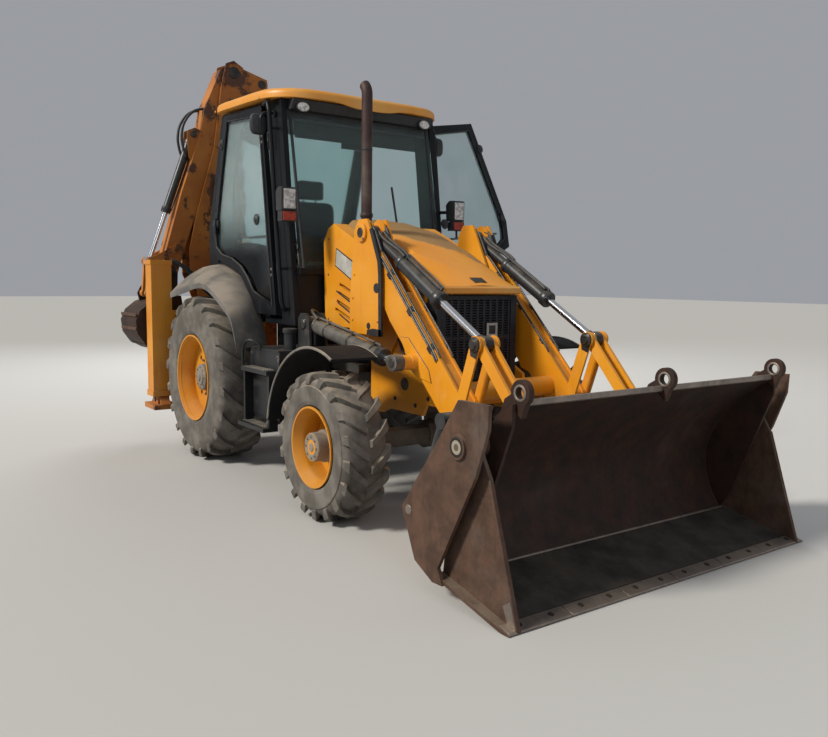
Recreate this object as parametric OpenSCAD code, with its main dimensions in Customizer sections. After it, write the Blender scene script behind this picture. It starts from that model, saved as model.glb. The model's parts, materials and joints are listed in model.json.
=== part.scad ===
// Backhoe loader, parked: front bucket on the ground, digging arm folded and slewed to the right,
// right door shut and left door open. Millimetres, +X forward, +Y to the machine's left, +Z up.
// Machine coordinates have x = 0 at the rear axle, y = 0 on the centre plane and z = 0 on the ground;
// placed() moves them to the frame of the part, whose origin is the centre of its footprint.

/* [Wheels] */
// Distance between the axles
wheelbase = 2175; // [2100:5:2250]
// Radius of a rear tyre at the lug tips
rear_r = 685; // [660:5:700]
// Width of a rear tyre
rear_w = 430; // [380:10:440]
// Distance of a rear tyre's middle from the centre plane
rear_y = 835; // [820:5:860]
// Radius of a front tyre at the lug tips
front_r = 475; // [455:5:480]
// Width of a front tyre
front_w = 320; // [280:10:330]
// Distance of a front tyre's middle from the centre plane
front_y = 925; // [920:5:950]
// Radius of a rear rim's outer flange
rear_rim_r = 362; // [350:1:375]
// Radius of a front rim's outer flange
front_rim_r = 258; // [245:1:265]
// Height of the tyres' lugs
lug_h = 38; // [25:1:45]
// Distance of a king pin from the centre plane
king_pin_y = 690; // [680:1:700]

/* [Loader] */
// Middle of a loader arm from the centre plane
arm_y = 455; // [450:1:460]
// Width of a loader arm
arm_w = 110; // [100:1:116]
// Thickness of the arm's side plates
arm_plate = 16; // [10:1:20]
// Middle of a lift ram from the centre plane
lift_y = 650; // [640:1:660]
// Radius of a lift ram's barrel
lift_barrel_r = 50; // [40:1:54]
// Radius of a tilt ram's barrel
tilt_barrel_r = 48; // [38:1:50]
// Outer half width of the loader bucket
bucket_half = 1185; // [1150:5:1200]
// Thickness of the bucket's plates
bucket_plate = 18; // [14:1:22]
// Radius of the holes in the fork lugs
lug_hole_r = 26; // [20:1:30]
// Thickness of a fork lug
lug_t = 32; // [24:1:40]

/* [Cab] */
// Half width of the cab over its doors
cab_half = 745; // [735:5:765]
// Height of the roof's underside at its front edge
roof_z = 2850; // [2780:5:2870]
// Fall of the roof towards the front, in degrees
roof_tilt = 2; // [0:0.5:4]
// Thickness of the roof cap
roof_t = 80; // [60:5:110]
// Thickness of a door
door_t = 40; // [30:1:45]
// Opening angle of the left door as parked
door_open = 80; // [0:1:85]
// Thickness of the window glass
glass_t = 6; // [5:1:10]

/* [Backhoe] */
// Distance of the slew axis behind the rear axle
slew_x = -1360; // [-1400:5:-1340]
// Half width of the boom's side plates
boom_half = 125; // [120:1:130]
// Thickness of the boom's side plates
boom_plate = 20; // [14:1:22]
// Width of the dipper
dipper_w = 190; // [170:1:196]
// Width of the digging bucket
hoe_w = 500; // [440:5:520]
// Outer width of a stabiliser tube along the machine
tube_x = 160; // [150:1:170]
// Outer width of a stabiliser tube across the machine
tube_y = 190; // [180:1:200]
// Wall of a stabiliser tube
tube_t = 12; // [8:1:14]

/* [Hidden] */
$fn = 48;
yellow = [0.93, 0.6, 0.13];
dark = [0.13, 0.14, 0.16];
rusty = [0.38, 0.24, 0.18];
steel = [0.75, 0.76, 0.78];
// Clearance between a piece and its seat
fit = 0.3;
// Wheel arch of the cab and of the rear guards: radius and height of its centre
arch_r = rear_r + 40;
arch_z = rear_r + 130;
// Radius of the rear axle's tube
axle_r = 100;
// Lug bars on each side of a tyre, and how far round a bar trails from its inner to its outer end
rear_bars = 20;
front_bars = 18;
bar_trail = 13;
// Inner face of a rear tyre, and how far the rear guards reach out
tyre_in = rear_y - rear_w / 2;
guard_out = rear_y + rear_w / 2 - 40;
// Side tanks, between the rear tyre and the front fender
tank_x0 = rear_r + 145;
tank_x1 = wheelbase - front_r - 370;

// Half gap between the plates of a lift ram's base bracket
lift_gap = lift_barrel_r + 6;

// Pins of the loader, each [x, z]
arm_pin = [1900, 1840];
bucket_pin = [3300, 280];
lever_pin = [2930, 690];
lever_reach = [166, 476];
lever_top = lever_pin + lever_reach;
tilt_pin = bucket_pin + lever_reach;
lift_base = [1400, 1200];
lift_tip = [2485, 1014];
clam_pin = [3785, 774];
clam_ram_base = [3590, 860];
clam_ram_tip = [3395, 390];

// Pins of the backhoe, each [distance from the slew axis, z]
boom_pin = [250, 750];
dipper_pin = [106, 3560];
hoe_pin = [790, 1560];
boom_ram_base = [-30, 1160];
boom_ram_tip = [-40, 2300];
dipper_ram_base = [-75, 2450];
dipper_ram_tip = [-205, 3495];
hoe_ram_base = [512, 2925];
hoe_lever_pin = [705, 1813];
hoe_ram_tip = [960, 1680];
hoe_link_pin = [985, 1370];

// Door hinge line, from the sill to the roof, in the plane of the door
hinge_low = [1000, 1250];
hinge_top = [760, 2850];
door_y = cab_half - door_t;
// Door hinges: places along the hinge line, and height of each half
hinge_steps = [270, 1270];
hinge_h = 60;

// Outer face of the cab's frame, behind the doors
cab_face = cab_half - door_t - 6;
// Front edge of the roof, and the height of its underside at x
roof_x = 1160;
roof_at = function(x) roof_z + (roof_x - x) * tan(roof_tilt);
// A point at angle a round the rear wheel, at the given gap outside its tyre
round_rear = function(a, gap) [0, rear_r] + (rear_r + gap) * [cos(a), sin(a)];

// Half widths in the loader bucket, counted in from its outer plates
back_half = bucket_half - 140;
cheek_y = bucket_half - 85;
clam_ram_y = bucket_half - 80;
lug_y = bucket_half - 185;

// Hinge of the bonnet
bonnet_hinge = [1262, 1950];

// Footprint of the parked part, from its outermost pieces
tip_x = 4140;
hoe_x = slew_x - hoe_w / 2;
door_tail = [-215, 1710];
hinge_dir = (hinge_top - hinge_low) / norm(hinge_top - hinge_low);
door_arm = (door_tail - hinge_low) - hinge_dir * ((door_tail - hinge_low) * hinge_dir);
door_reach = door_y + norm(door_arm) * sin(door_open) + door_t * cos(door_open);
origin_x = (tip_x + hoe_x) / 2;
origin_y = (door_reach - bucket_half) / 2;

// Moves machine coordinates to the part's own frame
module placed() {
    translate([-origin_x, -origin_y, 0]) children();
}

// Both sides of the machine
module both_sides() {
    children();
    mirror([0, 1, 0]) children();
}

// Outline in X and Z, made solid from y0 to y1
module side_plate(points, y0, y1) {
    translate([0, y1, 0]) rotate([90, 0, 0]) linear_extrude(y1 - y0) polygon(points);
}

// Round bar along Y at p = [x, z]
module cross_bar(p, r, y0, y1) {
    translate([p[0], y1, p[1]]) rotate([90, 0, 0]) cylinder(r = r, h = y1 - y0);
}

// Local X runs from p to q, both [x, z], in the plane at y
module along(p, q, y) {
    translate([p[0], y, p[1]]) rotate([0, -atan2(q[1] - p[1], q[0] - p[0]), 0]) children();
}

// Barrel of a ram: an eye at the origin, a tube along X with its bore, and a gland at the open end
module ram_barrel(r, rod_r, length, eye_r, eye_w, neck_r = 0, neck = 0) {
    difference() {
        union() {
            rotate([90, 0, 0]) cylinder(r = eye_r, h = eye_w, center = true);
            if (neck > 0)
                rotate([0, 90, 0]) cylinder(r = neck_r, h = neck + 1);
            translate([neck, 0, 0]) rotate([0, 90, 0]) cylinder(r = r, h = length - 50 - neck);
            translate([length - 50, 0, 0]) rotate([0, 90, 0]) cylinder(r = r + 5, h = 50);
        }
        translate([eye_r, 0, 0]) rotate([0, 90, 0]) cylinder(r = rod_r + fit, h = length);
    }
}

// Rod of a ram, with its eye at distance reach along X and its inner end at distance start
module ram_rod(rod_r, start, reach, eye_r, eye_w) {
    translate([start, 0, 0]) rotate([0, 90, 0]) cylinder(r = rod_r, h = reach - start);
    translate([reach, 0, 0]) rotate([90, 0, 0]) cylinder(r = eye_r, h = eye_w, center = true);
}

// Turns the backhoe's plane, where local X points away from the slew axis, to the parked side
module hoe_plane() {
    translate([slew_x, 0, 0]) rotate([0, 0, -90]) children();
}

module chassis() {
    rail = [[-839.7, 560], [-839.7, 900], [250, 900], [420, 860], [2400, 860], [2400, 740], [1800, 740],
        [1700, 600], [300, 600], [150, 540], [-150, 540], [-300, 560]];
    color(dark) placed() {
        both_sides() difference() {
            side_plate(rail, 300, 340);
            cross_bar([0, rear_r], axle_r + fit, 290, 350);
        }
        for (x = [-700, 600, 1300])
            translate([x, -300, 640]) cube([120, 600, 90 - fit]);
        translate([wheelbase - 95, -300, 640 + fit]) cube([190, 600, 90 - 2 * fit]);
        both_sides() translate([wheelbase - 95, 300, 640 + fit]) cube([190, 40, 110]);
        both_sides() translate([1250, 340, 860]) cube([450, 100, 60]);
        both_sides() translate([tank_x0 + 70, 340, 640]) cube([90, 120 - fit, 80]);
    }
}

module nose() {
    cheek = [[1750, 600], [1750, 1150], [2120, 1150], [2360, 1000], [2560, 900], [2600, 720],
        [2420, 720], [2380, 640], [1990, 640], [1900, 600]];
    color(yellow) placed() {
        both_sides() side_plate(cheek, 340 + fit, 366);
        translate([2560, -366, 720]) cube([40, 732, 150]);
    }
}

module engine() {
    color(dark) placed() translate([1450, -290, 730]) cube([850, 580, 620]);
}

module towers() {
    outer = [[1740, 1160], [1740, 1400], [1800, 1860], [1850, 1930], [1960, 1930], [2000, 1860],
        [2120, 1640], [2140, 1150]];
    foot = [[1330, 1000], [1330, 1180], [1740, 1420], [2120, 1420], [2120, 1150], [2000, 1000]];
    base_in = arm_y - arm_w / 2 - 28;
    base_out = arm_y + arm_w / 2 + 12;
    bracket = [[1320, 1000], [1320, 1240], [1360, 1280], [1440, 1280], [1480, 1240], [1500, 1000]];
    color(yellow) placed() both_sides() {
        side_plate(outer, base_out, base_out + 16);
        side_plate(outer, base_in, base_in + 16);
        side_plate(foot, base_in, base_in + 16);
        translate([1740, base_in, 1150]) cube([60, base_out - base_in, 200]);
        cross_bar(arm_pin, 60, base_out + 16, base_out + 30);
        side_plate(bracket, lift_y - lift_gap - 18, lift_y - lift_gap);
        side_plate(bracket, lift_y + lift_gap, lift_y + lift_gap + 18);
        translate([1320, base_in + 16, 1000]) cube([180, lift_y + lift_gap - base_in, 40]);
    }
}

module side_panels() {
    panel = [[1250, 1180], [1230, 1800], [1300, 1900], [1380, 1930], [1740 - fit, 1780], [1740 - fit, 1180]];
    color(yellow) placed() both_sides() difference() {
        side_plate(panel, 430, 460);
        for (i = [0 : 3])
            translate([1400 + 20 * i, 420, 1300 + 60 * i]) rotate([0, 18, 0]) cube([260, 50, 22]);
    }
    // Hood that turns each panel's top edge in towards the bonnet
    color(yellow) placed() both_sides() side_plate([[1230, 1800], [1300, 1900], [1380, 1930], [1600, 1838],
        [1600, 1820], [1378, 1912], [1312, 1886], [1247, 1794]], 350, 430.5);
}

module grille() {
    bars = 11;
    color(dark) placed() {
        difference() {
            translate([2380, -340, 870]) cube([110, 680, 560]);
            translate([2460, -305, 900]) cube([60, 610, 500]);
        }
        for (i = [0 : bars - 1])
            translate([2462, -304 + i * 608 / bars + 20, 900]) cube([24, 16, 500]);
        translate([2466, -305, 1140]) cube([20, 610, 20]);
    }
}

module front_axle() {
    color(dark) placed() translate([wheelbase, 0, 0]) {
        side_plate([[-65, 420], [-85, 475], [-65, 530], [65, 530], [85, 475], [65, 420]], -620, 620);
        cross_bar([0, front_r], 95, -210, 60);
        translate([-75, -150, 530]) cube([150, 300, 110]);
        both_sides() for (z = [395, 525])
            side_plate([[-50, z], [-50, z + 30], [50, z + 30], [50, z]], 600, king_pin_y + 45);
    }
}

module knuckle() {
    cross_bar([wheelbase, front_r], 40, king_pin_y, front_y - 60 - fit);
    translate([wheelbase, king_pin_y, front_r - 49.7]) cylinder(r = 45, h = 99.4);
    translate([wheelbase - 150, king_pin_y + 50, front_r - 12]) cube([150, 20, 24]);
}

module knuckle_right() {
    color(dark) placed() mirror([0, 1, 0]) knuckle();
}

module knuckle_left() {
    color(dark) placed() knuckle();
}

module rear_axle() {
    color(dark) placed() {
        cross_bar([0, rear_r], axle_r, -rear_y - 20 + fit, rear_y + 20 - fit);
        translate([0, 0, rear_r]) sphere(r = 220);
        both_sides() cross_bar([0, rear_r], 150, 360, 590);
    }
}

// Rim profile, turned about the wheel's axis: flange radius r, width w, disc set at d from the middle
module rim(r, w, d, hub_r, hub_out) {
    difference() {
        rotate([90, 0, 0]) rotate_extrude() polygon([[r, -w / 2], [r, -w / 2 + 12], [r - 22, -w / 2 + 20],
            [r - 34, -w / 4], [r - 34, w / 4], [r - 22, w / 2 - 20], [r, w / 2 - 12], [r, w / 2],
            [r - 12, w / 2], [r - 50, w / 4], [r - 50, d + 10], [hub_r, d + 10], [hub_r, hub_out],
            [0, hub_out], [0, d - 40], [r - 60, d - 14], [r - 50, d - 30], [r - 50, -w / 4],
            [r - 12, -w / 2]]);
        for (i = [0 : 7])
            rotate([0, i * 45, 0]) translate([(r - 50 + hub_r) / 2, -d, 0]) rotate([90, 0, 0])
                cylinder(r = 22, h = 120, center = true);
    }
}

// Tyre with a bar of a chevron on each side of its middle, turned about the wheel's axis: radius r at
// the lug tips, rim radius r0, width w, bars a side n, their height h, and how far they trail in degrees
module tyre(r, r0, w, n, h, trail) {
    // Share of a pitch at each station round the wheel, and whether the bar stands there
    rows = [[0, 1], [0.38, 1], [0.7, 0]];
    // Profile from bead to bead: [radius between bars, radius on a bar, y between bars, y on a bar, turn]
    half = [[r0 + 0.7, r0 + 0.7, w / 2 - 24, w / 2 - 24, trail],
        [(r + r0) / 2 + 10, (r + r0) / 2 + 10, w / 2, w / 2, trail],
        [r - h - 34, r - h - 34, w / 2 - 8, w / 2 - 8, trail],
        [r - h - 10, r - 9, w / 2 - 30, w / 2 - 12, trail], [r - h, r, 26, 26, 0]];
    pitch = 360 / n;
    line = concat([for (q = half) [q[0], q[1], -q[2], -q[3], q[4]]], [[r - h, r - h, 0, 0, pitch / 4]],
        [for (k = [4 : -1 : 0]) let(q = half[k]) [q[0], q[1], q[2], q[3], q[4] + pitch / 2]],
        [[r0 - 32, r0 - 32, w / 4, w / 4, trail], [r0 - 32, r0 - 32, -w / 4, -w / 4, trail]]);
    m = len(line);
    stations = 3 * n;
    pts = [for (i = [0 : stations - 1]) for (q = line)
        let(row = rows[i % 3], turn = pitch * (floor(i / 3) + row[0]) + q[4], rr = row[1] > 0 ? q[1] : q[0])
        [rr * cos(turn), row[1] > 0 ? q[3] : q[2], rr * sin(turn)]];
    faces = [for (i = [0 : stations - 1]) for (j = [0 : m - 1])
        let(a = m * i + j, b = m * i + (j + 1) % m, c = m * ((i + 1) % stations) + j,
            d = m * ((i + 1) % stations) + (j + 1) % m) each [[a, b, c], [b, d, c]]];
    polyhedron(points = pts, faces = faces);
}

// side is -1 on the right and 1 on the left
module rear_rim(side) {
    color(yellow) placed() translate([0, side * rear_y, rear_r]) mirror([0, side < 0 ? 1 : 0, 0])
        mirror([0, 1, 0]) rim(rear_rim_r, rear_w - 10, 60, 110, 130);
}

module front_rim(side) {
    color(yellow) placed() translate([wheelbase, side * front_y, front_r])
        mirror([0, side < 0 ? 1 : 0, 0]) mirror([0, 1, 0]) rim(front_rim_r, front_w - 6, -20, 88, 150);
}

module rear_tyre(side) {
    color(dark) placed() translate([0, side * rear_y, rear_r])
        tyre(rear_r, rear_rim_r, rear_w, rear_bars, lug_h, bar_trail);
}

module front_tyre(side) {
    color(dark) placed() translate([wheelbase, side * front_y, front_r])
        tyre(front_r, front_rim_r, front_w, front_bars, lug_h - 4, bar_trail + 1);
}

module rim_rear_right() { rear_rim(-1); }
module rim_rear_left() { rear_rim(1); }
module rim_front_right() { front_rim(-1); }
module rim_front_left() { front_rim(1); }
module tyre_rear_right() { rear_tyre(-1); }
module tyre_rear_left() { rear_tyre(1); }
module tyre_front_right() { front_tyre(-1); }
module tyre_front_left() { front_tyre(1); }

module cab_frame() {
    face = cab_face;
    hinge_side = hinge_top[0] + 18;
    pillar = [[hinge_low[0] + 18, 1180], [1230, 1180], [1010, roof_at(1010)],
        [hinge_side, roof_at(hinge_side)]];
    rear_pillar = [[10, roof_at(10)], [-258, 1960], [-238, 1640], [-440, 1640], [-440, 1960],
        [-110, roof_at(-110)]];
    rail = [[-110, roof_at(-110) - 80], [-110, roof_at(-110)], [1000, roof_at(1000)],
        [1000, roof_at(1000) - 80]];
    color(dark) placed() {
        both_sides() {
            side_plate(pillar, face - 40, face);
            side_plate(rear_pillar, face - 60, face);
            side_plate(rail, face - 60, face);
            intersection() {
                difference() {
                    side_plate([[-440, 1180], [-440, rear_r + 1015], [-100, rear_r + 1015],
                        [300, rear_r + 875], [600, rear_r + 615], [720, 1180]], tyre_in - 30, face);
                    cross_bar([0, arch_z], arch_r, tyre_in - 14, face + 1);
                }
                cross_bar([0, arch_z], arch_r + 16, tyre_in - 40, face + 1);
            }
            side_plate([[-440, rear_r + 875], [-440, rear_r + 975], [-80, rear_r + 975], [280, rear_r + 835],
                [580, rear_r + 585], [660, 1180], [560, 1180], [380, rear_r + 715], [240, rear_r + 805],
                [-80, rear_r + 885]], face - 16, face);
            translate([-440, face - 60, 1450]) cube([60, 60, 200]);
            translate([720, 300, 1180]) cube([480, face - 300, 40]);
        }
        both_sides() {
            side_plate([[1195, 1450], [1225, 1600], [1240, 1940], [1290 - fit, 1940], [1290 - fit, 1690],
                [1230, 1450]], 200, 216);
            cross_bar(bonnet_hinge, 14, 200, 216);
        }
        both_sides() along_hinge() for (z = hinge_steps) {
            translate([0, 0, z + hinge_h + fit]) cylinder(r = 11, h = hinge_h);
            translate([0, -14, z + hinge_h + fit]) cube([30, 14 - fit, hinge_h]);
        }
        translate([940, -face + 40, roof_at(1000) - 80]) cube([60, 2 * face - 80, 80]);
        translate([-110, -face + 60, roof_at(-50) - 80]) cube([60, 2 * face - 120, 80]);
        translate([-440, -face + 60, 1500]) cube([60, 2 * face - 120, 300]);
        translate([1140, -face + 40, 1180]) cube([60, 2 * face - 80, 420]);
        translate([-440, -600, 1180]) cube([1640, 1200, 40]);
        translate([-440, -600, 1180]) cube([40, 1200, 400]);
        translate([100, -300, 900]) cube([900, 600, 280]);
    }
}

module cab_roof() {
    // Plan of the cap from its front edge back: [x, half width]
    plan = [[0, cab_half - 185], [-260, cab_half + 50], [-1180, cab_half + 50], [-1290, cab_half - 60]];
    color(yellow) placed() {
        translate([roof_x, 0, roof_z + fit]) rotate([0, roof_tilt, 0]) hull()
            for (p = plan) for (s = [-1, 1])
                translate([p[0] - 50, s * (p[1] - 50), 0]) cylinder(r1 = 50, r2 = 24, h = roof_t, $fn = 32);
        side_plate([[1020, roof_z + 30], [1080, roof_z - 30], [1140, roof_z - 52], [1156, roof_z - 40],
            [1150, roof_z + 30]], -230, 230);
    }
}

module cab_glass() {
    top = roof_at(1000) - 80;
    rear_top = roof_at(-120) - 50;
    color([0.5, 0.75, 0.75, 0.5]) placed() {
        side_plate([[1210, 1600 + fit], [1210 + glass_t, 1600 + fit], [1000 + glass_t, top], [1000, top]],
            -cab_face + 40 + fit, cab_face - 40 - fit);
        side_plate([[-434, 1800 + fit], [-434 + glass_t, 1800 + fit], [-120, rear_top],
            [-120 - glass_t, rear_top]], -cab_face + 60 + fit, cab_face - 60 - fit);
    }
}

// Local Z runs along the left door's hinge line
module along_hinge() {
    translate([hinge_low[0], door_y, hinge_low[1]])
        rotate([0, atan2(hinge_dir[0], hinge_dir[1]), 0]) children();
}

// One door in its shut place on the left side
module door() {
    edge = [hinge_low, hinge_low + 1600 * hinge_dir, [50, 2874], [-235, 1950], door_tail,
        round_rear(93.4, 290), round_rear(69.3, 249), round_rear(47.1, 195), round_rear(41, 176)];
    pane = [[940, 1320], [728, 2760], [105, 2810], [-165, 1940], [-150, 1790], round_rear(92, 355),
        round_rear(69.5, 320), round_rear(51, 265)];
    difference() {
        side_plate(edge, door_y, door_y + door_t);
        side_plate(pane, door_y - 1, door_y + door_t + 1);
        along_hinge() for (z = hinge_steps)
            translate([0, 0, z + hinge_h]) cylinder(r = 11.5, h = hinge_h + 4);
    }
    along_hinge() for (z = hinge_steps)
        translate([0, 0, z]) cylinder(r = 11, h = hinge_h);
    side_plate(pane, door_y + 16, door_y + 16 + glass_t);
    side_plate([[-170, 1900], [-170, 2030], [-120, 2030], [-120, 1900]], door_y + door_t,
        door_y + door_t + 25);
}

module swung_door(angle) {
    hinge = [hinge_low[0], door_y, hinge_low[1]];
    axis = [hinge_top[0] - hinge_low[0], 0, hinge_top[1] - hinge_low[1]];
    translate(hinge) rotate(a = -angle, v = axis) translate(-hinge) door();
}

module door_right() {
    color(dark) placed() mirror([0, 1, 0]) door();
}

module door_left() {
    color(dark) placed() swung_door(door_open);
}

module seat() {
    color(dark) placed() {
        translate([150, -240, 1520]) cube([480, 480, 130]);
        translate([80, -230, 1650.3]) cube([140, 460, 560]);
        translate([90, -130, 2210]) cube([100, 260, 180]);
        translate([200, -150, 1220]) cube([360, 300, 300]);
    }
}

module console() {
    color(dark) placed() {
        translate([850, -60, 1220]) cube([120, 120, 60]);
        along([915, 1260], [740, 1840], 0) rotate([0, 90, 0]) cylinder(r = 45, h = 606);
        translate([740, 0, 1840]) rotate([0, -14, 0]) rotate_extrude() translate([190, 0]) circle(r = 16);
        translate([740, 0, 1840]) rotate([0, -14, 0]) for (a = [90, 210, 330])
            rotate([0, 0, a]) translate([0, -14, -8]) cube([186, 28, 16]);
        translate([-300, -200, 1220]) cube([180, 400, 430]);
    }
}

module rear_guards() {
    // Inner and outer edge of a guard, front to back, as angles round the wheel and gaps to its tyre
    inner = [[23.2, 110], [30.3, 130], [42.7, 149], [55.8, 168], [69.8, 193], [81.8, 229], [93.4, 266],
        [109, 325], [123.1, 432]];
    outer = [[20.3, 221], [25, 233], [36, 239], [43.9, 203], [54.4, 162], [69.8, 138], [85.6, 112],
        [110.3, 114], [131.3, 247]];
    n = len(inner);
    drop = 14;
    section = function(i, side)
        let(a = round_rear(inner[i][0], inner[i][1]), b = round_rear(outer[i][0], outer[i][1]))
        [[a[0], side * (cab_face + fit), a[1]], [b[0], side * guard_out, b[1]],
        [b[0], side * guard_out, b[1] - drop - 30], [b[0], side * (guard_out - drop), b[1] - drop - 30],
        [b[0], side * (guard_out - drop), b[1] - drop], [a[0], side * (cab_face + fit), a[1] - drop]];
    pts = [for (side = [1, -1]) for (i = [0 : n - 1]) each section(i, side)];
    last = 6 * (n - 1);
    cap = [[0, 1, 4], [0, 4, 5], [1, 2, 3], [1, 3, 4]];
    left = concat(cap, [for (f = cap) [last + f[2], last + f[1], last + f[0]]],
        [for (i = [0 : n - 2]) for (j = [0 : 5]) for (half = [0, 1])
            half == 0 ? [6 * i + j, 6 * i + 6 + j, 6 * i + (j + 1) % 6] :
            [6 * i + 6 + j, 6 * i + 6 + (j + 1) % 6, 6 * i + (j + 1) % 6]]);
    right = [for (f = left) [for (j = [len(f) - 1 : -1 : 0]) 6 * n + f[j]]];
    color([0.4, 0.4, 0.4]) placed() polyhedron(points = pts, faces = concat(left, right));
}

module front_fenders() {
    // Inner radius of the fender, clear of the steered tyre's outer corner
    bow_r = front_r + 150;
    color(dark) placed() both_sides() translate([wheelbase - 20, 740, front_r - 10]) {
        intersection() {
            difference() {
                rotate([-90, 0, 0]) cylinder(r = bow_r + 14, h = 330, $fn = 96);
                translate([0, -1, 0]) rotate([-90, 0, 0]) cylinder(r = bow_r, h = 332, $fn = 96);
            }
            translate([-bow_r - 60, -5, 90]) cube([bow_r + 320, 340, bow_r]);
        }
        translate([-bow_r - 30, -400 + fit, 95]) cube([35, 420, 85]);
    }
}

module side_tanks() {
    run = tank_x1 - tank_x0;
    color(dark) placed() both_sides() {
        translate([tank_x0, 460, 470]) cube([run, 420, 530]);
        translate([tank_x0 + 20, 880, 415]) cube([run - 50, 120, 30]);
        translate([tank_x0 + 20, 880, 830]) cube([run - 50, 90, 30]);
        for (x = [tank_x0 + 20, tank_x1 - 60])
            translate([x, 880, 445]) cube([30, 70, 385]);
        translate([tank_x1 - 90, 750, 1000]) cylinder(r = 45, h = 130);
    }
}

module exhaust() {
    color([0.25, 0.2, 0.2]) placed() translate([1695, -376, 0]) {
        translate([0, 0, 1465]) cylinder(r = 38, h = 1335);
        translate([0, 0, 1465]) sphere(r = 38);
        translate([0, 160, 1465]) rotate([90, 0, 0]) cylinder(r = 38, h = 160);
        translate([0, 160, 1465]) sphere(r = 38);
        translate([0, 160, 1350 + fit]) cylinder(r = 38, h = 115 - fit);
        translate([-90, 0, 2800]) rotate([90, 0, 0]) rotate_extrude(angle = 50)
            translate([90, 0]) circle(r = 38);
    }
}

module lamps() {
    lamp_y = cab_half - 190;
    arm_in = cab_half - 10;
    color([0.85, 0.8, 0.75]) placed() {
        both_sides() {
            translate([1030, lamp_y, roof_z - 56]) rotate([0, 90, 0]) cylinder(r = 48, h = 66);
            translate([1045, lamp_y - 15, roof_z - 12]) cube([30, 30, roof_at(1075) - roof_z + 12]);
            translate([1240, cab_half - 25, 2020]) cube([60, 110, 150]);
            translate([1240, cab_half - 25, 1940]) cube([60, 110, 70]);
            translate([1255, arm_in, 2005]) cube([30, 40, 20]);
            translate([1040, cab_face + fit, 2080]) cube([30, arm_in + 25 - cab_face - fit, 30]);
            translate([1040, arm_in, 2080]) cube([230, 25, 30]);
        }
    }
}

module mirrors() {
    head_y = cab_half + 70;
    color(dark) placed() both_sides() {
        translate([900, cab_face + fit, 2740]) cube([24, head_y - cab_face, 24]);
        translate([900, head_y, 2560]) cube([24, 24, 204]);
        translate([890, head_y - 60, 2600]) cube([10, 150, 130]);
    }
}

module rear_frame() {
    rail_x = -1060;
    color(yellow) placed() {
        for (z = [500, 1120]) translate([rail_x, -912, z]) cube([200, 1824, 90]);
        for (y = [-600, -60, 480]) translate([-980, y, 590]) cube([60, 120, 530]);
        both_sides() translate([-860, 300, 560]) cube([20, 60, 340]);
        both_sides() translate([-1020, 910, 420]) difference() {
            cube([tube_x, tube_y, 1260]);
            translate([tube_t, tube_t, -1]) cube([tube_x - 2 * tube_t, tube_y - 2 * tube_t, 1240]);
        }
    }
}

module leg() {
    inner_x = tube_x - 2 * tube_t - 2 * fit;
    inner_y = tube_y - 2 * tube_t - 2 * fit;
    translate([-1020 + tube_t + fit, 910 + tube_t + fit, 420]) cube([inner_x, inner_y, 1150]);
    translate([-1010, 950, 345]) cube([140, 110, 75]);
    translate([-1090, 895, 300]) cube([300, 220, 45]);
}

module leg_right() {
    color(rusty) placed() mirror([0, 1, 0]) leg();
}

module leg_left() {
    color(rusty) placed() leg();
}

module bonnet() {
    // Sections along the bonnet: [x, half width at the skirt, half width of the crown, crown z, skirt z]
    stations = [[1290, 332, 245, 1985, 1780], [1700, 332, 245, 1890, 1650], [2100, 335, 248, 1730, 1540],
        [2400, 335, 240, 1570, 1450], [2540, 325, 235, 1500, 1440]];
    // Half section as [share of skirt width towards crown, share of the height]
    ring = function(s) [[-s[1], s[4]], [-s[1], s[4] + 0.55 * (s[3] - s[4])], [-s[2], s[3] - 15],
        [0, s[3]], [s[2], s[3] - 15], [s[1], s[4] + 0.55 * (s[3] - s[4])], [s[1], s[4]]];
    n = 7;
    pts = [for (s = stations) for (p = ring(s)) [s[0], p[0], p[1]]];
    last = n * (len(stations) - 1);
    faces = concat([[for (i = [0 : n - 1]) i]], [[for (i = [n - 1 : -1 : 0]) last + i]],
        [for (k = [0 : len(stations) - 2]) for (i = [0 : n - 1])
            [k * n + i, (k + 1) * n + i, (k + 1) * n + (i + 1) % n, k * n + (i + 1) % n]]);
    color(yellow) placed() {
        polyhedron(points = pts, faces = faces);
        both_sides() flat_link(bonnet_hinge, [1320, 1930], 14, 216 + fit, 232);
    }
}

module loader_arms() {
    plate = [[1820, 1760], [1840, 1900], [1900, 1935], [1975, 1900], [2040, 1760], [2960, 840],
        [3120, 660], [3240, 480], [3370, 310], [3340, 215], [3250, 210], [3130, 330], [2980, 520],
        [2830, 656], [2560, 910], [2490, 930], [2370, 1100], [2200, 1260]];
    core = [[2330, 1450], [2960, 820], [3120, 640], [3230, 460], [3270, 380], [3180, 330],
        [2980, 540], [2830, 676], [2560, 930], [2400, 1100], [2230, 1300]];
    y0 = arm_y - arm_w / 2;
    y1 = arm_y + arm_w / 2;
    color(yellow) placed() {
        both_sides() {
            side_plate(plate, y0, y0 + arm_plate);
            side_plate(plate, y1 - arm_plate, y1);
            side_plate(core, y0 + arm_plate, y1 - arm_plate);
            cross_bar(bucket_pin, 75, y0, y1);
            cross_bar(lift_tip, 45, y1, lift_y - 35 - fit);
            for (p = [lever_pin, bucket_pin]) for (s = [-1, 1])
                cross_bar(p, 38, arm_y + s * arm_w / 2 - 4.5, arm_y + s * arm_w / 2 + 4.5);
            cross_bar(arm_pin, 55, y0, arm_y - 30 - fit);
            cross_bar(arm_pin, 55, arm_y + 30 + fit, y1);
            cross_bar(arm_pin, 45, y1, y1 + 12 - fit);
            cross_bar(arm_pin, 45, y0 - 12 + fit, y0);
        }
        cross_bar([2750, 836], 64, -y0, y0);
    }
}

lift_length = norm(lift_tip - lift_base);
lift_barrel_l = 970;
tilt_length = norm(lever_top - arm_pin);
tilt_barrel_l = 900;

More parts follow.
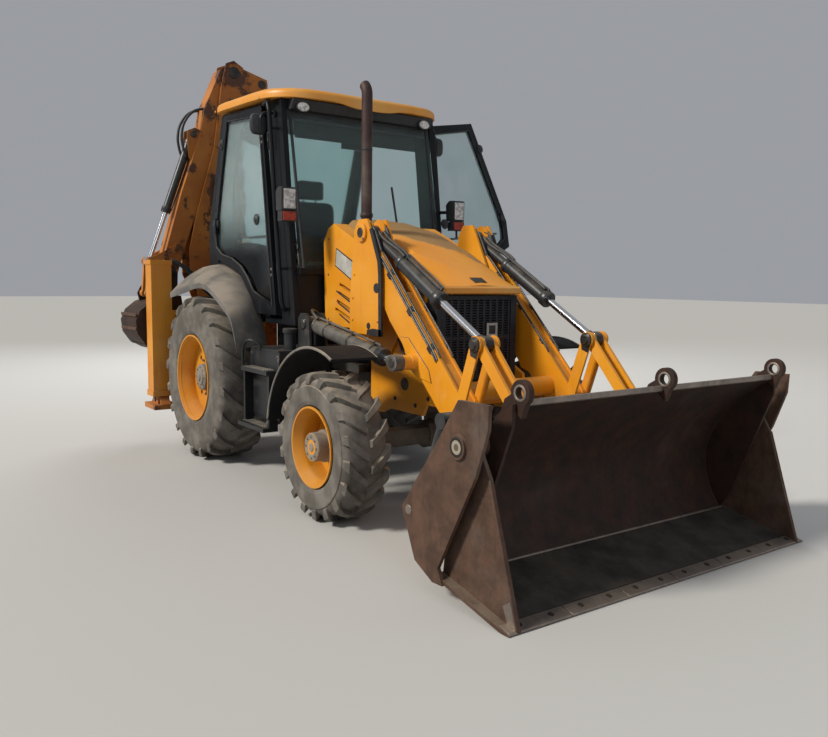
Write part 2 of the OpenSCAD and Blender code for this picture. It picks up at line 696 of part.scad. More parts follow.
module lift_barrels() {
    color(dark) placed() both_sides() along(lift_base, lift_tip, lift_y)
        ram_barrel(lift_barrel_r, 28, lift_barrel_l, 58, 2 * (lift_gap - fit));
}

module lift_rods() {
    color(steel) placed() both_sides() along(lift_base, lift_tip, lift_y)
        ram_rod(28, 140, lift_length, 52, 70);
}

module tilt_barrels() {
    color(dark) placed() both_sides() along(arm_pin, lever_top, arm_y)
        union() {
            ram_barrel(tilt_barrel_r, 24, tilt_barrel_l, 52, 60, 29, 400);
            translate([430, 0, tilt_barrel_r + 10]) rotate([0, 90, 0]) cylinder(r = 9, h = 440);
            for (x = [430, 820])
                translate([x, -14, 30]) cube([36, 28, tilt_barrel_r - 14]);
        }
}

module tilt_rods() {
    color(steel) placed() both_sides() along(arm_pin, lever_top, arm_y)
        ram_rod(24, 480, tilt_length, 48, 2 * (link_in - fit));
}

// Half gap between a lever's two plates, and between a link's two plates
lever_in = arm_w / 2 + 4.8;
link_in = 32;

// Flat bar with round ends between p and q
module flat_link(p, q, r, y0, y1) {
    run = q - p;
    side = [-run[1], run[0]] * 0.8 * r / norm(run);
    translate([0, y1, 0]) rotate([90, 0, 0]) linear_extrude(y1 - y0) {
        translate(p) circle(r = r);
        translate(q) circle(r = r);
        polygon([p + side, q + side, q - side, p - side]);
    }
}

module tilt_levers() {
    color(yellow) placed() both_sides() {
        flat_link(lever_pin, lever_top, 50, arm_y - lever_in - 14, arm_y - lever_in);
        flat_link(lever_pin, lever_top, 50, arm_y + lever_in, arm_y + lever_in + 14);
    }
}

module tilt_links() {
    color(yellow) placed() both_sides() {
        flat_link(lever_top, tilt_pin, 45, arm_y - link_in - 20, arm_y - link_in);
        flat_link(lever_top, tilt_pin, 45, arm_y + link_in, arm_y + link_in + 20);
        cross_bar(lever_top, 45, arm_y - lever_in + fit, arm_y - link_in);
        cross_bar(lever_top, 45, arm_y + link_in, arm_y + lever_in - fit);
    }
}

// Inner skin of the bucket's back: a quadratic curve from the top edge to the parting edge
back_top = [3985, 985];
back_pull = [3330, 560];
back_low = [3665, 128];
back_curve = function(t) (1 - t) * (1 - t) * back_top + 2 * t * (1 - t) * back_pull + t * t * back_low;
back_slope = function(t) 2 * (1 - t) * (back_pull - back_top) + 2 * t * (back_low - back_pull);
back_behind = function(t, d) back_curve(t) + d * [back_slope(t)[1], -back_slope(t)[0]] / norm(back_slope(t));

back_steps = 12;
back_inner = [for (i = [0 : back_steps]) back_curve(i / back_steps)];

module bucket_back() {
    outer = [for (i = [back_steps : -1 : 0]) back_behind(i / back_steps, bucket_plate)];
    skin_y = back_half - bucket_plate - fit;
    color(rusty) placed() {
        side_plate(concat(back_inner, outer), -skin_y, skin_y);
        for (y = [-lug_y, 0, lug_y])
            translate([0, y, 0]) difference() {
                union() {
                    side_plate([[3870, 930], [3900, 1000], [4000, 1060], [4050, 1030], [4010, 920],
                        [3985, 940], [3960, 965]], -lug_t / 2, lug_t / 2);
                    cross_bar([4000, 1035], 60, -lug_t / 2, lug_t / 2);
                }
                cross_bar([4000, 1035], lug_hole_r, -lug_t, lug_t);
            }
    }
}

// Outline in X and Z as far as the back of the bucket's skin, made solid from y0 to y1
module behind_skin(points, y0, y1) {
    front = concat([for (i = [0 : back_steps]) back_behind(i / back_steps, bucket_plate + fit)],
        [[tip_x, 84], [tip_x, 1100]]);
    translate([0, y1, 0]) rotate([90, 0, 0]) linear_extrude(y1 - y0) difference() {
        polygon(points);
        polygon(front);
    }
}

module bucket_brackets() {
    end_in = back_half - bucket_plate;
    ram_lug = [[3560, 820], [3560, 900], [3640, 920], [3860, 960], [3800, 820], [3700, 780]];
    color(rusty) placed() {
        both_sides() {
            side_plate(concat(back_inner, [[3720, 200], [3900, 660], [3985, 880]]), end_in, back_half);
            side_plate(ram_lug, end_in, back_half);
            cross_bar(clam_ram_base, 38, end_in, clam_ram_y - 40);
        }
        for (s = [-1, 1]) for (d = [-lever_in - 10, lever_in + 10])
            translate([0, s * arm_y + d, 0]) behind_skin([[3230, 230], [3230, 330], [3330, 380], [3600, 470],
                [3600, 160], [3330, 200]], -10, 10);
        for (s = [-1, 1])
            translate([0, s * arm_y, 0]) behind_skin([[3420, 720], [3420, 800], [3480, 810], [3760, 760],
                [3620, 640], [3500, 690]], -link_in + fit, link_in - fit);
    }
}

module bucket_clam() {
    cheek = [[tip_x, 4], [3931, 645], [3850, 780], [3730, 770], [3660, 600], [3600, 100], [4075, 4]];
    arm = [[3775, 989], [3989, 992], [3985, 880], [3907, 660], [3640, 160], [3680, 84], [3600, 80],
        [3453, 148], [3338, 394], [3640, 796]];
    floor_line = [[3600, 104], [3600, 122], [4090, 20], [tip_x, 6], [tip_x, 4], [4075, 4]];
    color(rusty) placed() {
        side_plate(floor_line, -bucket_half + 10, bucket_half - 10);
        both_sides() {
            side_plate(cheek, cheek_y, cheek_y + 20);
            side_plate(arm, bucket_half - 20, bucket_half);
            cross_bar(clam_pin, 58, back_half + fit, bucket_half + 14);
            cross_bar(clam_ram_tip, 36, clam_ram_y + 40, bucket_half);
        }
    }
}

clam_length = norm(clam_ram_tip - clam_ram_base);

module clam_barrels() {
    color(dark) placed() both_sides() along(clam_ram_base, clam_ram_tip, clam_ram_y)
        ram_barrel(36, 20, 330, 40, 80 - 2 * fit);
}

module clam_rods() {
    color(steel) placed() both_sides() along(clam_ram_base, clam_ram_tip, clam_ram_y)
        ram_rod(20, 60, clam_length, 38, 80 - 2 * fit);
}

module carriage() {
    color(yellow) placed() {
        translate([-1150, -260, 470]) cube([84, 520, 760]);
        translate([-1066, -260, 1210 + fit]) cube([60, 520, 20 - fit]);
        translate([-1066, -260, 470]) cube([60, 520, 30 - fit]);
        for (z = [470, 960]) {
            translate([slew_x, 0, z]) cylinder(r = 90, h = 60);
            translate([slew_x, -80, z]) cube([-1140 - slew_x, 160, 60]);
        }
    }
}

module kingpost() {
    web = [[100, 560], [100, 1020 + fit], [-110, 1020 + fit], [-110, 1065], [40, 1065], [100, 1028],
        [190, 970], [230, 880], [330, 800], [330, 690], [230, 600]];
    boss = boom_half - boom_plate - fit;
    color(yellow) placed() hoe_plane() {
        translate([0, 0, 530 + fit]) cylinder(r = 95, h = 430 - 2 * fit);
        side_plate(web, -95, 95);
        translate([0, -70, 560]) cube([110, 140, 360]);
        cross_bar(boom_pin, 80, -boss, boss);
        for (s = [-1, 1])
            side_plate([[-90, 1060], [-90, 1180], [-50, 1220], [-10, 1220], [30, 1180], [40, 1060]],
                s * 50 - 12, s * 50 + 12);
    }
}

module boom() {
    plate = [[170, 700], [200, 660], [300, 660], [345, 740], [400, 1050], [500, 1330], [590, 1560],
        [595, 1800], [530, 2100], [430, 2450], [330, 2800], [245, 3400], [190, 3640], [110, 3675],
        [10, 3620], [-10, 3480], [30, 3000], [10, 2560],
        [-130, 2510], [-140, 2410], [-110, 2240], [-60, 2200], [30, 2050], [60, 1300], [160, 850]];
    core = [[330, 1000], [375, 1400], [345, 2100], [268, 2760], [220, 2760], [60, 2560], [30, 2150],
        [140, 1800], [200, 1300], [240, 1000]];
    inside = boom_half - boom_plate;
    color(yellow) placed() hoe_plane() {
        for (s = [-1, 1])
            side_plate(plate, s * (boom_half - boom_plate / 2) - boom_plate / 2,
                s * (boom_half - boom_plate / 2) + boom_plate / 2);
        side_plate(core, -inside, inside);
        for (s = [-1, 1]) for (p = [boom_ram_tip, dipper_ram_base])
            cross_bar(p, 45, s * (inside + 35 + fit) / 2 - (inside - 35 - fit) / 2,
                s * (inside + 35 + fit) / 2 + (inside - 35 - fit) / 2);
        for (s = [-1, 1])
            cross_bar(dipper_pin, 55,
                s * (inside + dipper_w / 2 + fit) / 2 - (inside - dipper_w / 2 - fit) / 2,
                s * (inside + dipper_w / 2 + fit) / 2 + (inside - dipper_w / 2 - fit) / 2);
    }
}

module dipper() {
    body = [[-255, 3400], [-270, 3490], [-262, 3545], [125, 3650], [235, 3580], [410, 3180], [452, 2950],
        [565, 2610], [655, 2350], [840, 1720], [850, 1600], [800, 1490], [730, 1500], [620, 1850],
        [360, 2600], [150, 3150],
        [40, 3340], [-90, 3330]];
    ear = [[430, 2830], [440, 2970], [500, 2990], [567, 2960], [575, 2880], [560, 2700], [520, 2640]];
    color(yellow) placed() hoe_plane() difference() {
        union() {
            side_plate(body, -dipper_w / 2, dipper_w / 2);
            for (s = [-1, 1]) side_plate(ear, s * 55 - 10, s * 55 + 10);
            cross_bar(hoe_pin, 60, -ear_in + fit, ear_in - fit);
        }
        translate([-300, -45, 3300]) cube([335, 90, 300]);
    }
}

boom_length = norm(boom_ram_tip - boom_ram_base);
dipper_length = norm(dipper_ram_tip - dipper_ram_base);
hoe_length = norm(hoe_ram_tip - hoe_ram_base);

// Half gap between the ears of the digging bucket
ear_in = 118;

module boom_barrel() {
    color(dark) placed() hoe_plane() along(boom_ram_base, boom_ram_tip, 0)
        ram_barrel(32, 26, 1010, 55, 76 - 2 * fit);
}

module boom_rod() {
    color(steel) placed() hoe_plane() along(boom_ram_base, boom_ram_tip, 0)
        ram_rod(26, 76, boom_length, 50, 70);
}

module dipper_barrel() {
    color(dark) placed() hoe_plane() along(dipper_ram_base, dipper_ram_tip, 0)
        ram_barrel(32, 24, 700, 50, 70);
}

module dipper_rod() {
    color(steel) placed() hoe_plane() along(dipper_ram_base, dipper_ram_tip, 0)
        ram_rod(24, 400, dipper_length, 46, 90 - 2 * fit);
}

module hoe_barrel() {
    color(dark) placed() hoe_plane() along(hoe_ram_base, hoe_ram_tip, 0)
        ram_barrel(38, 24, 820, 45, 90 - 2 * fit);
}

module hoe_rod() {
    color(steel) placed() hoe_plane() along(hoe_ram_base, hoe_ram_tip, 0)
        ram_rod(24, 480, hoe_length, 42, 80 - 2 * fit);
}

module hoe_lever() {
    out = dipper_w / 2 + fit;
    color(yellow) placed() hoe_plane() for (s = [-1, 1])
        translate([0, s * (out + 9), 0]) flat_link(hoe_lever_pin, hoe_ram_tip, 42, -9, 9);
}

module hoe_link() {
    color(yellow) placed() hoe_plane() for (s = [-1, 1])
        translate([0, s > 0 ? 40 : -84, 0]) {
            flat_link(hoe_ram_tip, hoe_link_pin, 40, 0, 44);
            cross_bar(hoe_ram_tip, 38, s > 0 ? 0 : -11, s > 0 ? dipper_w / 2 - 40 : 44);
            cross_bar(hoe_link_pin, 38, s > 0 ? 0 : 84 - ear_in + fit, s > 0 ? ear_in - 40 - fit : 44);
        }
}

module hoe_bucket() {
    skin = [[735, 1350], [900, 1330], [1030, 1290], [1130, 1210], [1174, 1110], [1160, 990], [1090, 890],
        [980, 830], [850, 800], [600, 830]];
    inner = [[604, 850], [850, 820], [970, 848], [1076, 905], [1141, 996], [1153, 1107], [1114, 1197],
        [1022, 1271], [896, 1311], [735, 1330]];
    ear = [[735, 1340], [725, 1560], [760, 1625], [830, 1625], [1010, 1430], [1040, 1370], [1020, 1290],
        [900, 1325]];
    color(rusty) placed() hoe_plane() {
        side_plate(concat(skin, inner), -hoe_w / 2, hoe_w / 2);
        for (s = [-1, 1]) side_plate(concat(skin, [[640, 900], [700, 1150]]), s * (hoe_w / 2 - 9) - 9,
            s * (hoe_w / 2 - 9) + 9);
        for (s = [-1, 1])
            side_plate(ear, s * (ear_in + 12) - 12, s * (ear_in + 12) + 12);
        for (i = [-2 : 2])
            translate([0, i * 108, 0]) side_plate([[660, 812], [660, 846], [520, 890], [515, 880]], -25, 25);
    }
}

chassis();
nose();
engine();
towers();
side_panels();
grille();
front_axle();
rear_axle();
cab_frame();
cab_roof();
cab_glass();
seat();
console();
rear_guards();
front_fenders();
side_tanks();
exhaust();
lamps();
mirrors();
rear_frame();
bonnet();
door_right();
door_left();
knuckle_right();
knuckle_left();
rim_rear_right();
tyre_rear_right();
rim_rear_left();
tyre_rear_left();
rim_front_right();
tyre_front_right();
rim_front_left();
tyre_front_left();
loader_arms();
lift_barrels();
lift_rods();
tilt_barrels();
tilt_rods();
tilt_levers();
tilt_links();
bucket_back();
bucket_brackets();
bucket_clam();
clam_barrels();
clam_rods();
carriage();
kingpost();
boom();
boom_barrel();
boom_rod();
dipper();
dipper_barrel();
dipper_rod();
hoe_lever();
hoe_link();
hoe_barrel();
hoe_rod();
hoe_bucket();
leg_right();
leg_left();
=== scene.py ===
import json
import random
from itertools import product
from math import atan2, copysign, cos, exp, pi, radians, sin, tan

import bmesh
import bpy
from mathutils import Matrix, Vector


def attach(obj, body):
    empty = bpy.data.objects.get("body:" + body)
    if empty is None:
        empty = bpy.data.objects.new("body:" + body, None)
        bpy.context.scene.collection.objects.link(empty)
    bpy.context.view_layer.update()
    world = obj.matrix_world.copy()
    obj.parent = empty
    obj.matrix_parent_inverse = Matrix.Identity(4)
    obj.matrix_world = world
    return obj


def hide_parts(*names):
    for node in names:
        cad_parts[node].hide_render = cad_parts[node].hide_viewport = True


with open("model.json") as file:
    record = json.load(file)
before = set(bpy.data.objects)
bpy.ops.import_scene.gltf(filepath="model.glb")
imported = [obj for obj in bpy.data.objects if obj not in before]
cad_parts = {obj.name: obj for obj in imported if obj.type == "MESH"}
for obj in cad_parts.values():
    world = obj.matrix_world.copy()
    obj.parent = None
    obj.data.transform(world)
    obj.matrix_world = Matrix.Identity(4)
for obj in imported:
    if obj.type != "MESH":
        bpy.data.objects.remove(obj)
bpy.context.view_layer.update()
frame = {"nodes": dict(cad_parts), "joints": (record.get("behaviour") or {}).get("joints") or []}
NODES = frame["nodes"]
JOINT = {j["name"]: j for j in frame["joints"]}

# Machine coordinates: x = 0 at the rear axle, y = 0 on the centre plane, z = 0 on the ground
_right = JOINT["rear_wheel_right"]["pos_m"]
_left = JOINT["rear_wheel_left"]["pos_m"]
ORIGIN = Vector((-_right[0], -(_right[1] + _left[1]) / 2, 0))


def at(x, y, z):
    """A point in machine metres, in the frame of the part."""
    return Vector((x, y, z)) - ORIGIN


def joint_at(name):
    """Where a joint turns, in machine millimetres."""
    return tuple(round(1000 * (p + q), 2) for p, q in zip(JOINT[name]["pos_m"], ORIGIN))


def pin_at(name):
    """x and z of a joint."""
    return joint_at(name)[::2]


def hoe_pin(name):
    """The same on the digging arm, with x from the slew axis."""
    _, y, z = joint_at(name)
    return (-y, z)


WHEELBASE = pin_at("front_wheel_right")[0]
REAR_R = pin_at("rear_wheel_right")[1]
ARM_PIN, LEVER_PIN, LEVER_TOP = pin_at("arm_lift"), pin_at("lever_swing"), pin_at("link_swing")
BUCKET_PIN, LIFT_BASE = pin_at("bucket_tilt"), pin_at("lift_ram_swing")
CLAM_PIN, CLAM_BASE = pin_at("clam_open"), pin_at("clam_ram_swing")
SLEW_X = pin_at("arm_slew")[0]
BOOM_PIN, DIPPER_PIN, CLAW_PIN = hoe_pin("boom_lower"), hoe_pin("dipper_open"), hoe_pin("hoe_bucket_open")
CLAW_LEVER = hoe_pin("hoe_lever_swing")
# Places that only part.scad gives: pins where a loop is opened, and the planes of arms and lift rams
LINK_PIN, LIFT_TIP, CLAM_TIP = (3466, 756), (2485, 1014), (3395, 390)
CLAW_LINK = (985, 1370)
ARM_Y, LIFT_Y = 455, 650
# Base and tip of each ram on the digging arm
BOOM_RAM = (hoe_pin("boom_ram_swing"), (-40, 2300))
DIPPER_RAM = (hoe_pin("dipper_ram_swing"), (-205, 3495))
CLAW_RAM = (hoe_pin("hoe_ram_swing"), hoe_pin("hoe_link_swing"))

# Camera and light
# Camera solved from the photograph: its place in machine metres, and its own right and up
CAMERA_AT = (6.5984, -3.4405, 1.5257)
CAMERA_RIGHT = Vector((0.5789, 0.8154, 0.0117))
CAMERA_UP = Vector((-0.0956, 0.0536, 0.9940))
SCENE = bpy.context.scene


def show(obj):
    SCENE.collection.objects.link(obj)
    return obj


cam_data = bpy.data.cameras.new("camera")
cam_data.lens = 35.07
cam_data.sensor_width = 36
cam_data.clip_start = 0.05
cam_data.clip_end = 200
camera = show(bpy.data.objects.new("camera", cam_data))
camera.matrix_world = Matrix.Translation(at(*CAMERA_AT)) @ Matrix(
    (CAMERA_RIGHT, CAMERA_UP, CAMERA_RIGHT.cross(CAMERA_UP))).transposed().to_4x4()
SCENE.camera = camera


def light(name, kind, where, power, color, **more):
    """A light that looks at the middle of the machine."""
    data = bpy.data.lights.new(name, kind)
    data.energy = power
    data.color = color
    for key, value in more.items():
        setattr(data, key, value)
    lamp = show(bpy.data.objects.new(name, data))
    lamp.location = where
    lamp.rotation_mode = "QUATERNION"
    lamp.rotation_quaternion = (at(1.2, 0, 1.2) - where).to_track_quat("-Z", "Y")
    return lamp


light("key", "SUN", at(-0.5, -9.0, 8.5), 3.6, (1.0, 0.96, 0.88), angle=radians(11))
fill = light("fill", "AREA", at(10.0, -2.0, 4.0), 110, (0.86, 0.92, 1.0), shape="DISK", size=6.0)
back = light("back", "AREA", at(-8.0, 4.0, 7.0), 700, (0.95, 0.97, 1.0), shape="DISK", size=5.0)
# Neither area light shows as a disc through the glass, nor the back one as a glint
fill.visible_transmission = back.visible_transmission = back.visible_glossy = False
SCENE.world = bpy.data.worlds.new("studio")
SCENE.world.use_nodes = True
sky, sky_strength = SCENE.world.node_tree.nodes["Background"].inputs[:2]
sky.default_value = (0.9, 0.93, 1.0, 1)
sky_strength.default_value = 0.36
SCENE.view_settings.view_transform = "Standard"


# Materials
class Mat:
    """A procedural material: small helpers to chain nodes."""

    def __init__(self, name):
        self.m = bpy.data.materials.new(name)
        self.m.use_nodes = True
        self.t = self.m.node_tree
        self.b = self.t.nodes["Principled BSDF"]
        self.coord = self.node("TexCoord").outputs["Object"]
        self.color = None

    def feed(self, socket, v):
        """Give an input a number, a colour, or what another node puts out."""
        if isinstance(v, (int, float)):
            socket.default_value = v
        elif isinstance(v, tuple):
            socket.default_value = (*v, 1)
        else:
            self.t.links.new(v, socket)

    def node(self, kind, **inputs):
        """A node; an underscore in the name of an input stands for a space."""
        n = self.t.nodes.new("ShaderNode" + kind)
        for name, v in inputs.items():
            self.feed(n.inputs[name.replace("_", " ")], v)
        return n

    def stretched(self, sx, sy, sz):
        n = self.node("Mapping", Vector=self.coord)
        n.inputs["Scale"].default_value = (sx, sy, sz)
        return n.outputs[0]

    def noise(self, scale, detail=4, rough=0.55, lo=None, hi=None, vec=None):
        n = self.node("TexNoise", Scale=scale, Detail=detail, Roughness=rough, Vector=vec or self.coord)
        return n.outputs["Fac"] if lo is None else self.steps(n.outputs["Fac"], lo, hi)

    def steps(self, value, lo, hi, a=0.0, b=1.0):
        n = self.node("MapRange", Value=value, From_Min=lo, From_Max=hi, To_Min=a, To_Max=b)
        n.interpolation_type = "SMOOTHSTEP"
        return n.outputs["Result"]

    def below(self, value, lo, hi):
        """1 under lo, 0 over hi."""
        return self.steps(value, lo, hi, 1.0, 0.0)

    def math(self, op, a, b):
        n = self.node("Math")
        n.operation = op
        self.feed(n.inputs[0], a)
        self.feed(n.inputs[1], b)
        return n.outputs[0]

    def times(self, a, b):
        return self.math("MULTIPLY", a, b)

    def mix(self, fac, a, b):
        n = self.node("Mix")
        n.data_type = "RGBA"
        for i, v in ((0, fac), (6, a), (7, b)):
            self.feed(n.inputs[i], v)
        return n.outputs[2]

    def coat(self, mask, shade, share=None):
        """Lay a shade over the colour where the mask is, at a share of its strength."""
        self.color = self.mix(mask if share is None else self.times(mask, share), self.color, shade)

    def settle(self, dust, hi):
        """Dust on the faces that look up."""
        self.coat(self.times(self.facing_up(), self.noise(5.0, 6, 0.6, 0.3, hi)), DUST, dust)

    def part(self, vector, i):
        """x, y or z of a vector, by its number."""
        return self.node("SeparateXYZ", Vector=vector).outputs[i]

    def facing_up(self):
        return self.steps(self.part(self.node("NewGeometry").outputs["Normal"], 2), 0.35, 0.95)

    def low_down(self, lo, hi):
        return self.below(self.part(self.coord, 2), lo, hi)

    def bump(self, value, strength, distance):
        n = self.node("Bump", Height=value, Strength=strength, Distance=distance)
        self.feed(self.b.inputs["Normal"], n.outputs[0])

    def out(self, rough, metallic=0.0):
        for name, v in (("Base Color", self.color), ("Roughness", rough), ("Metallic", metallic)):
            self.feed(self.b.inputs[name], v)
        return self.m


DUST = (0.36, 0.29, 0.21)
RUST = (0.115, 0.04, 0.018)
DEEP_RUST = (0.045, 0.018, 0.010)
# Painted shadow: the colour of yellow enamel in shade
SHADOW_YELLOW = (0.25, 0.155, 0.06)
RUBBED = (0.16, 0.13, 0.11)


def paint(name, base, faded, rust=0.35, dust=0.16, rough=0.42, low=0.9, streak=0.35,
          black_behind=None, patches=0.0, sheen=0.5, shadow_behind=None):
    """Weathered enamel: fading, streaks, rust chips, and dust on top faces and below low. rust, dust,
    streak and patches run from 0 to 1. It is black behind one x, and painted shadow behind another."""
    m = Mat(name)
    m.color = m.mix(m.noise(1.6, 3, 0.55, 0.4, 0.65), base, faded)
    run = m.noise(1.0, 5, 0.6, 0.55, 0.78, m.stretched(26, 26, 2.2))
    m.coat(run, tuple(c * 0.45 for c in base), streak)
    grime = m.noise(7.0, 8, 0.65, 0.46, 0.72)
    m.coat(grime, DUST, 0.45 * dust)
    settled = m.times(m.math("MAXIMUM", m.facing_up(), m.low_down(0.0, low)), m.noise(4.5, 6, 0.6, 0.3, 0.6))
    m.coat(settled, DUST, 0.85 * dust)
    chips = m.times(m.noise(19.0, 10, 0.68, 0.735 - 0.13 * rust, 0.755 - 0.12 * rust),
                    m.noise(2.3, 4, 0.6, 0.5, 0.62))
    m.coat(chips, RUST)
    if patches:
        m.coat(m.noise(3.4, 9, 0.72, 0.60 - 0.08 * patches, 0.66 - 0.08 * patches), DEEP_RUST, 0.9)
    # Painted shadow behind a slanting line across the part, with a ragged edge
    if shadow_behind is not None:
        far = m.math("ADD", m.part(m.coord, 0), m.times(m.noise(4.0, 8, 0.65), 0.5))
        far = m.math("ADD", far, m.times(m.part(m.coord, 1), -SHADOW_SLOPE))
        m.coat(m.steps(far, shadow_behind, shadow_behind + 0.09, 0.88, 0.0), SHADOW_YELLOW)
    if black_behind is not None:
        m.coat(m.below(m.part(m.coord, 0), black_behind - 0.004, black_behind),
               m.mix(grime, (0.012, 0.012, 0.013), (0.05, 0.043, 0.035)))
    r = m.steps(grime, 0.0, 1.0, rough, min(0.95, rough + 0.3))
    m.bump(m.math("ADD", m.noise(60, 4), m.times(chips, -0.8)), 0.25, 0.0012)
    m.b.inputs["Specular IOR Level"].default_value = sheen
    return m.out(m.math("MAXIMUM", r, m.times(settled, 0.85)))


def rusty(name, base, bright, dust=0.5, rough=0.7, metallic=0.25, rub=0.55, pin=None):
    """Bare worn steel, brown with brighter rust and grey rubbed places. pin is where the end of a pin
    shows: a dark gap, a bright ring and a brown middle."""
    m = Mat(name)
    a = m.noise(9.0, 10, 0.7, 0.35, 0.68)
    m.color = m.mix(a, base, bright)
    m.coat(m.noise(2.2, 5, 0.6, 0.5, 0.75), RUBBED, rub)
    run = m.noise(1.0, 6, 0.6, 0.52, 0.75, m.stretched(30, 30, 2.5))
    m.coat(run, tuple(c * 0.5 for c in base), 0.5)
    m.settle(dust, 0.6)
    if pin is not None:
        gap = [m.math("SUBTRACT", m.part(m.coord, i), pin[i]) for i in (0, 2)]
        gap = m.math("SQRT", m.math("ADD", m.times(gap[0], gap[0]), m.times(gap[1], gap[1])), 0)
        for lo, hi, shade in ((0.045, 0.049, (0.012, 0.010, 0.008)), (0.032, 0.034, (0.30, 0.26, 0.20)),
                              (0.016, 0.018, (0.10, 0.075, 0.05))):
            m.coat(m.below(gap, lo, hi), shade)
    m.bump(m.math("ADD", a, m.noise(70, 5)), 0.35, 0.002)
    return m.out(rough, metallic)


def plain(name, color, rough=0.5, metallic=0.0, vary=0.3, scale=20.0, bump=0.15, dust=0.3):
    """Plastic, rubber or metal with slight unevenness and a little dust."""
    m = Mat(name)
    m.color = color
    m.coat(m.noise(scale, 6, 0.6, 0.35, 0.7), tuple(min(1, x * 1.9 + 0.02) for x in color), vary)
    m.settle(dust, 0.65)
    m.bump(m.noise(scale * 8, 4), bump, 0.001)
    return m.out(rough, metallic)


ENAMEL = ((0.64, 0.24, 0.006), (0.70, 0.29, 0.014))
SAND = ((0.056, 0.028, 0.017), (0.105, 0.054, 0.032))
# The painted shadow on the bonnet ends on a line across it: metres that x moves for a metre of y
SHADOW_SLOPE = 1.1
YELLOW = paint("yellow_enamel", *ENAMEL, streak=0.22)
TOWER = paint("tower_enamel", *ENAMEL, streak=0.22, black_behind=at(1.501, 0, 0).x)
YELLOW_HOOD = paint("yellow_hood", (0.66, 0.27, 0.030), (0.68, 0.34, 0.075), rust=0.15, dust=0.3, streak=0.12)
FADED = paint("faded_orange", (0.34, 0.105, 0.010), (0.44, 0.16, 0.02), rust=1.0, dust=0.12, rough=0.6,
              patches=1.0)
POST = paint("stabiliser_yellow", (0.55, 0.20, 0.010), (0.60, 0.25, 0.02), rust=0.7, dust=0.3, rough=0.5)
BLACK = paint("black_enamel", (0.009, 0.010, 0.012), (0.018, 0.019, 0.022), rust=0.1, dust=0.1, rough=0.4,
              low=0.5, sheen=0.3)
CAB_BLACK = paint("cab_enamel", (0.005, 0.006, 0.008), (0.009, 0.010, 0.013), rust=0.0, dust=0.02, rough=0.4,
                  low=0.2, sheen=0.2)
FENDER = paint("fender_black", (0.006, 0.006, 0.007), (0.011, 0.011, 0.012), rust=0.0, dust=0.03, rough=0.6,
               low=0.2, sheen=0.15)
# The bonnet's rear is painted with shadow behind a slanting line across it
HOOD = paint("bonnet_enamel", (0.68, 0.25, 0.010), (0.70, 0.29, 0.02), rust=0.15, streak=0.12,
             shadow_behind=at(2.17, 0, 0).x - SHADOW_SLOPE * at(0, 0, 0).y)
GRILLE = plain("grille_black", (0.004, 0.005, 0.009), 0.55, vary=0.4, dust=0.05)
GREY = paint("grey_dusty", (0.10, 0.095, 0.085), (0.17, 0.155, 0.135), rust=0.3, dust=0.8, rough=0.7)
CHASSIS = paint("chassis_grime", (0.022, 0.020, 0.018), (0.05, 0.042, 0.034), rust=0.6, dust=0.5, rough=0.7)
GUARD = paint("guard_grime", (0.085, 0.082, 0.078), (0.16, 0.15, 0.14), rust=0.1, dust=0.6, rough=0.75)
# Bucket steel: rust, painted darker still as painted shade for the bucket's inside
BUCKET_RUST_AND_SHADE = rusty("bucket_rust_and_shade", (0.016, 0.007, 0.004), (0.042, 0.014, 0.006), dust=0.06, rub=0.12)
BUCKET_OUT = rusty("bucket_sand", *SAND, dust=0.35)
CLAM = rusty("clam_steel", *SAND, dust=0.35, pin=at(CLAM_PIN[0] / 1000, 0, CLAM_PIN[1] / 1000))
# Worn floor steel, painted dark as painted shade
FLOOR_WEAR_AND_SHADE = rusty("worn_floor_and_shade", (0.020, 0.018, 0.016), (0.038, 0.032, 0.027), dust=0.1, rub=0.2)
BARE = rusty("bare_steel", (0.20, 0.17, 0.15), (0.30, 0.25, 0.21), dust=0.3, rough=0.45, metallic=0.7)
GREASE = plain("greasy_boss", (0.022, 0.018, 0.015), 0.32, 0.3, vary=0.8, scale=14, bump=0.5)
RIM = paint("rim_enamel", (0.52, 0.19, 0.004), (0.58, 0.24, 0.010), low=0.5)
BARREL = plain("ram_barrel", (0.020, 0.021, 0.023), 0.36, 0.2, dust=0.35)
BARREL_GREY = plain("lift_barrel", (0.070, 0.064, 0.056), 0.5, 0.3, vary=0.8, scale=9, dust=0.5)
CHROME = plain("ram_chrome", (0.72, 0.73, 0.75), 0.16, 1.0, vary=0.1, bump=0.03, dust=0.12)
RUBBER = plain("tyre_rubber", (0.075, 0.066, 0.056), 0.88, vary=0.9, scale=7, dust=0.75, bump=0.35)
SEAL = plain("black_rubber", (0.008, 0.008, 0.009), 0.6, vary=0.5, dust=0.15)
HOSE = plain("hose_rubber", (0.012, 0.012, 0.013), 0.5, vary=0.5, scale=40, dust=0.25)
PLASTIC = plain("dark_plastic", (0.015, 0.016, 0.019), 0.55)
LINING = plain("cab_lining", (0.020, 0.022, 0.024), 0.85, vary=0.4, scale=50, bump=0.5, dust=0.05)
FABRIC = plain("seat_fabric", (0.022, 0.024, 0.030), 0.95, scale=90, bump=0.8, dust=0.08)
BURNT = rusty("burnt_pipe", (0.034, 0.018, 0.016), (0.060, 0.030, 0.025), dust=0.08, rough=0.6, metallic=0.4)
PLATE = plain("bare_plate", (0.30, 0.29, 0.26), 0.6, vary=0.6, scale=9)


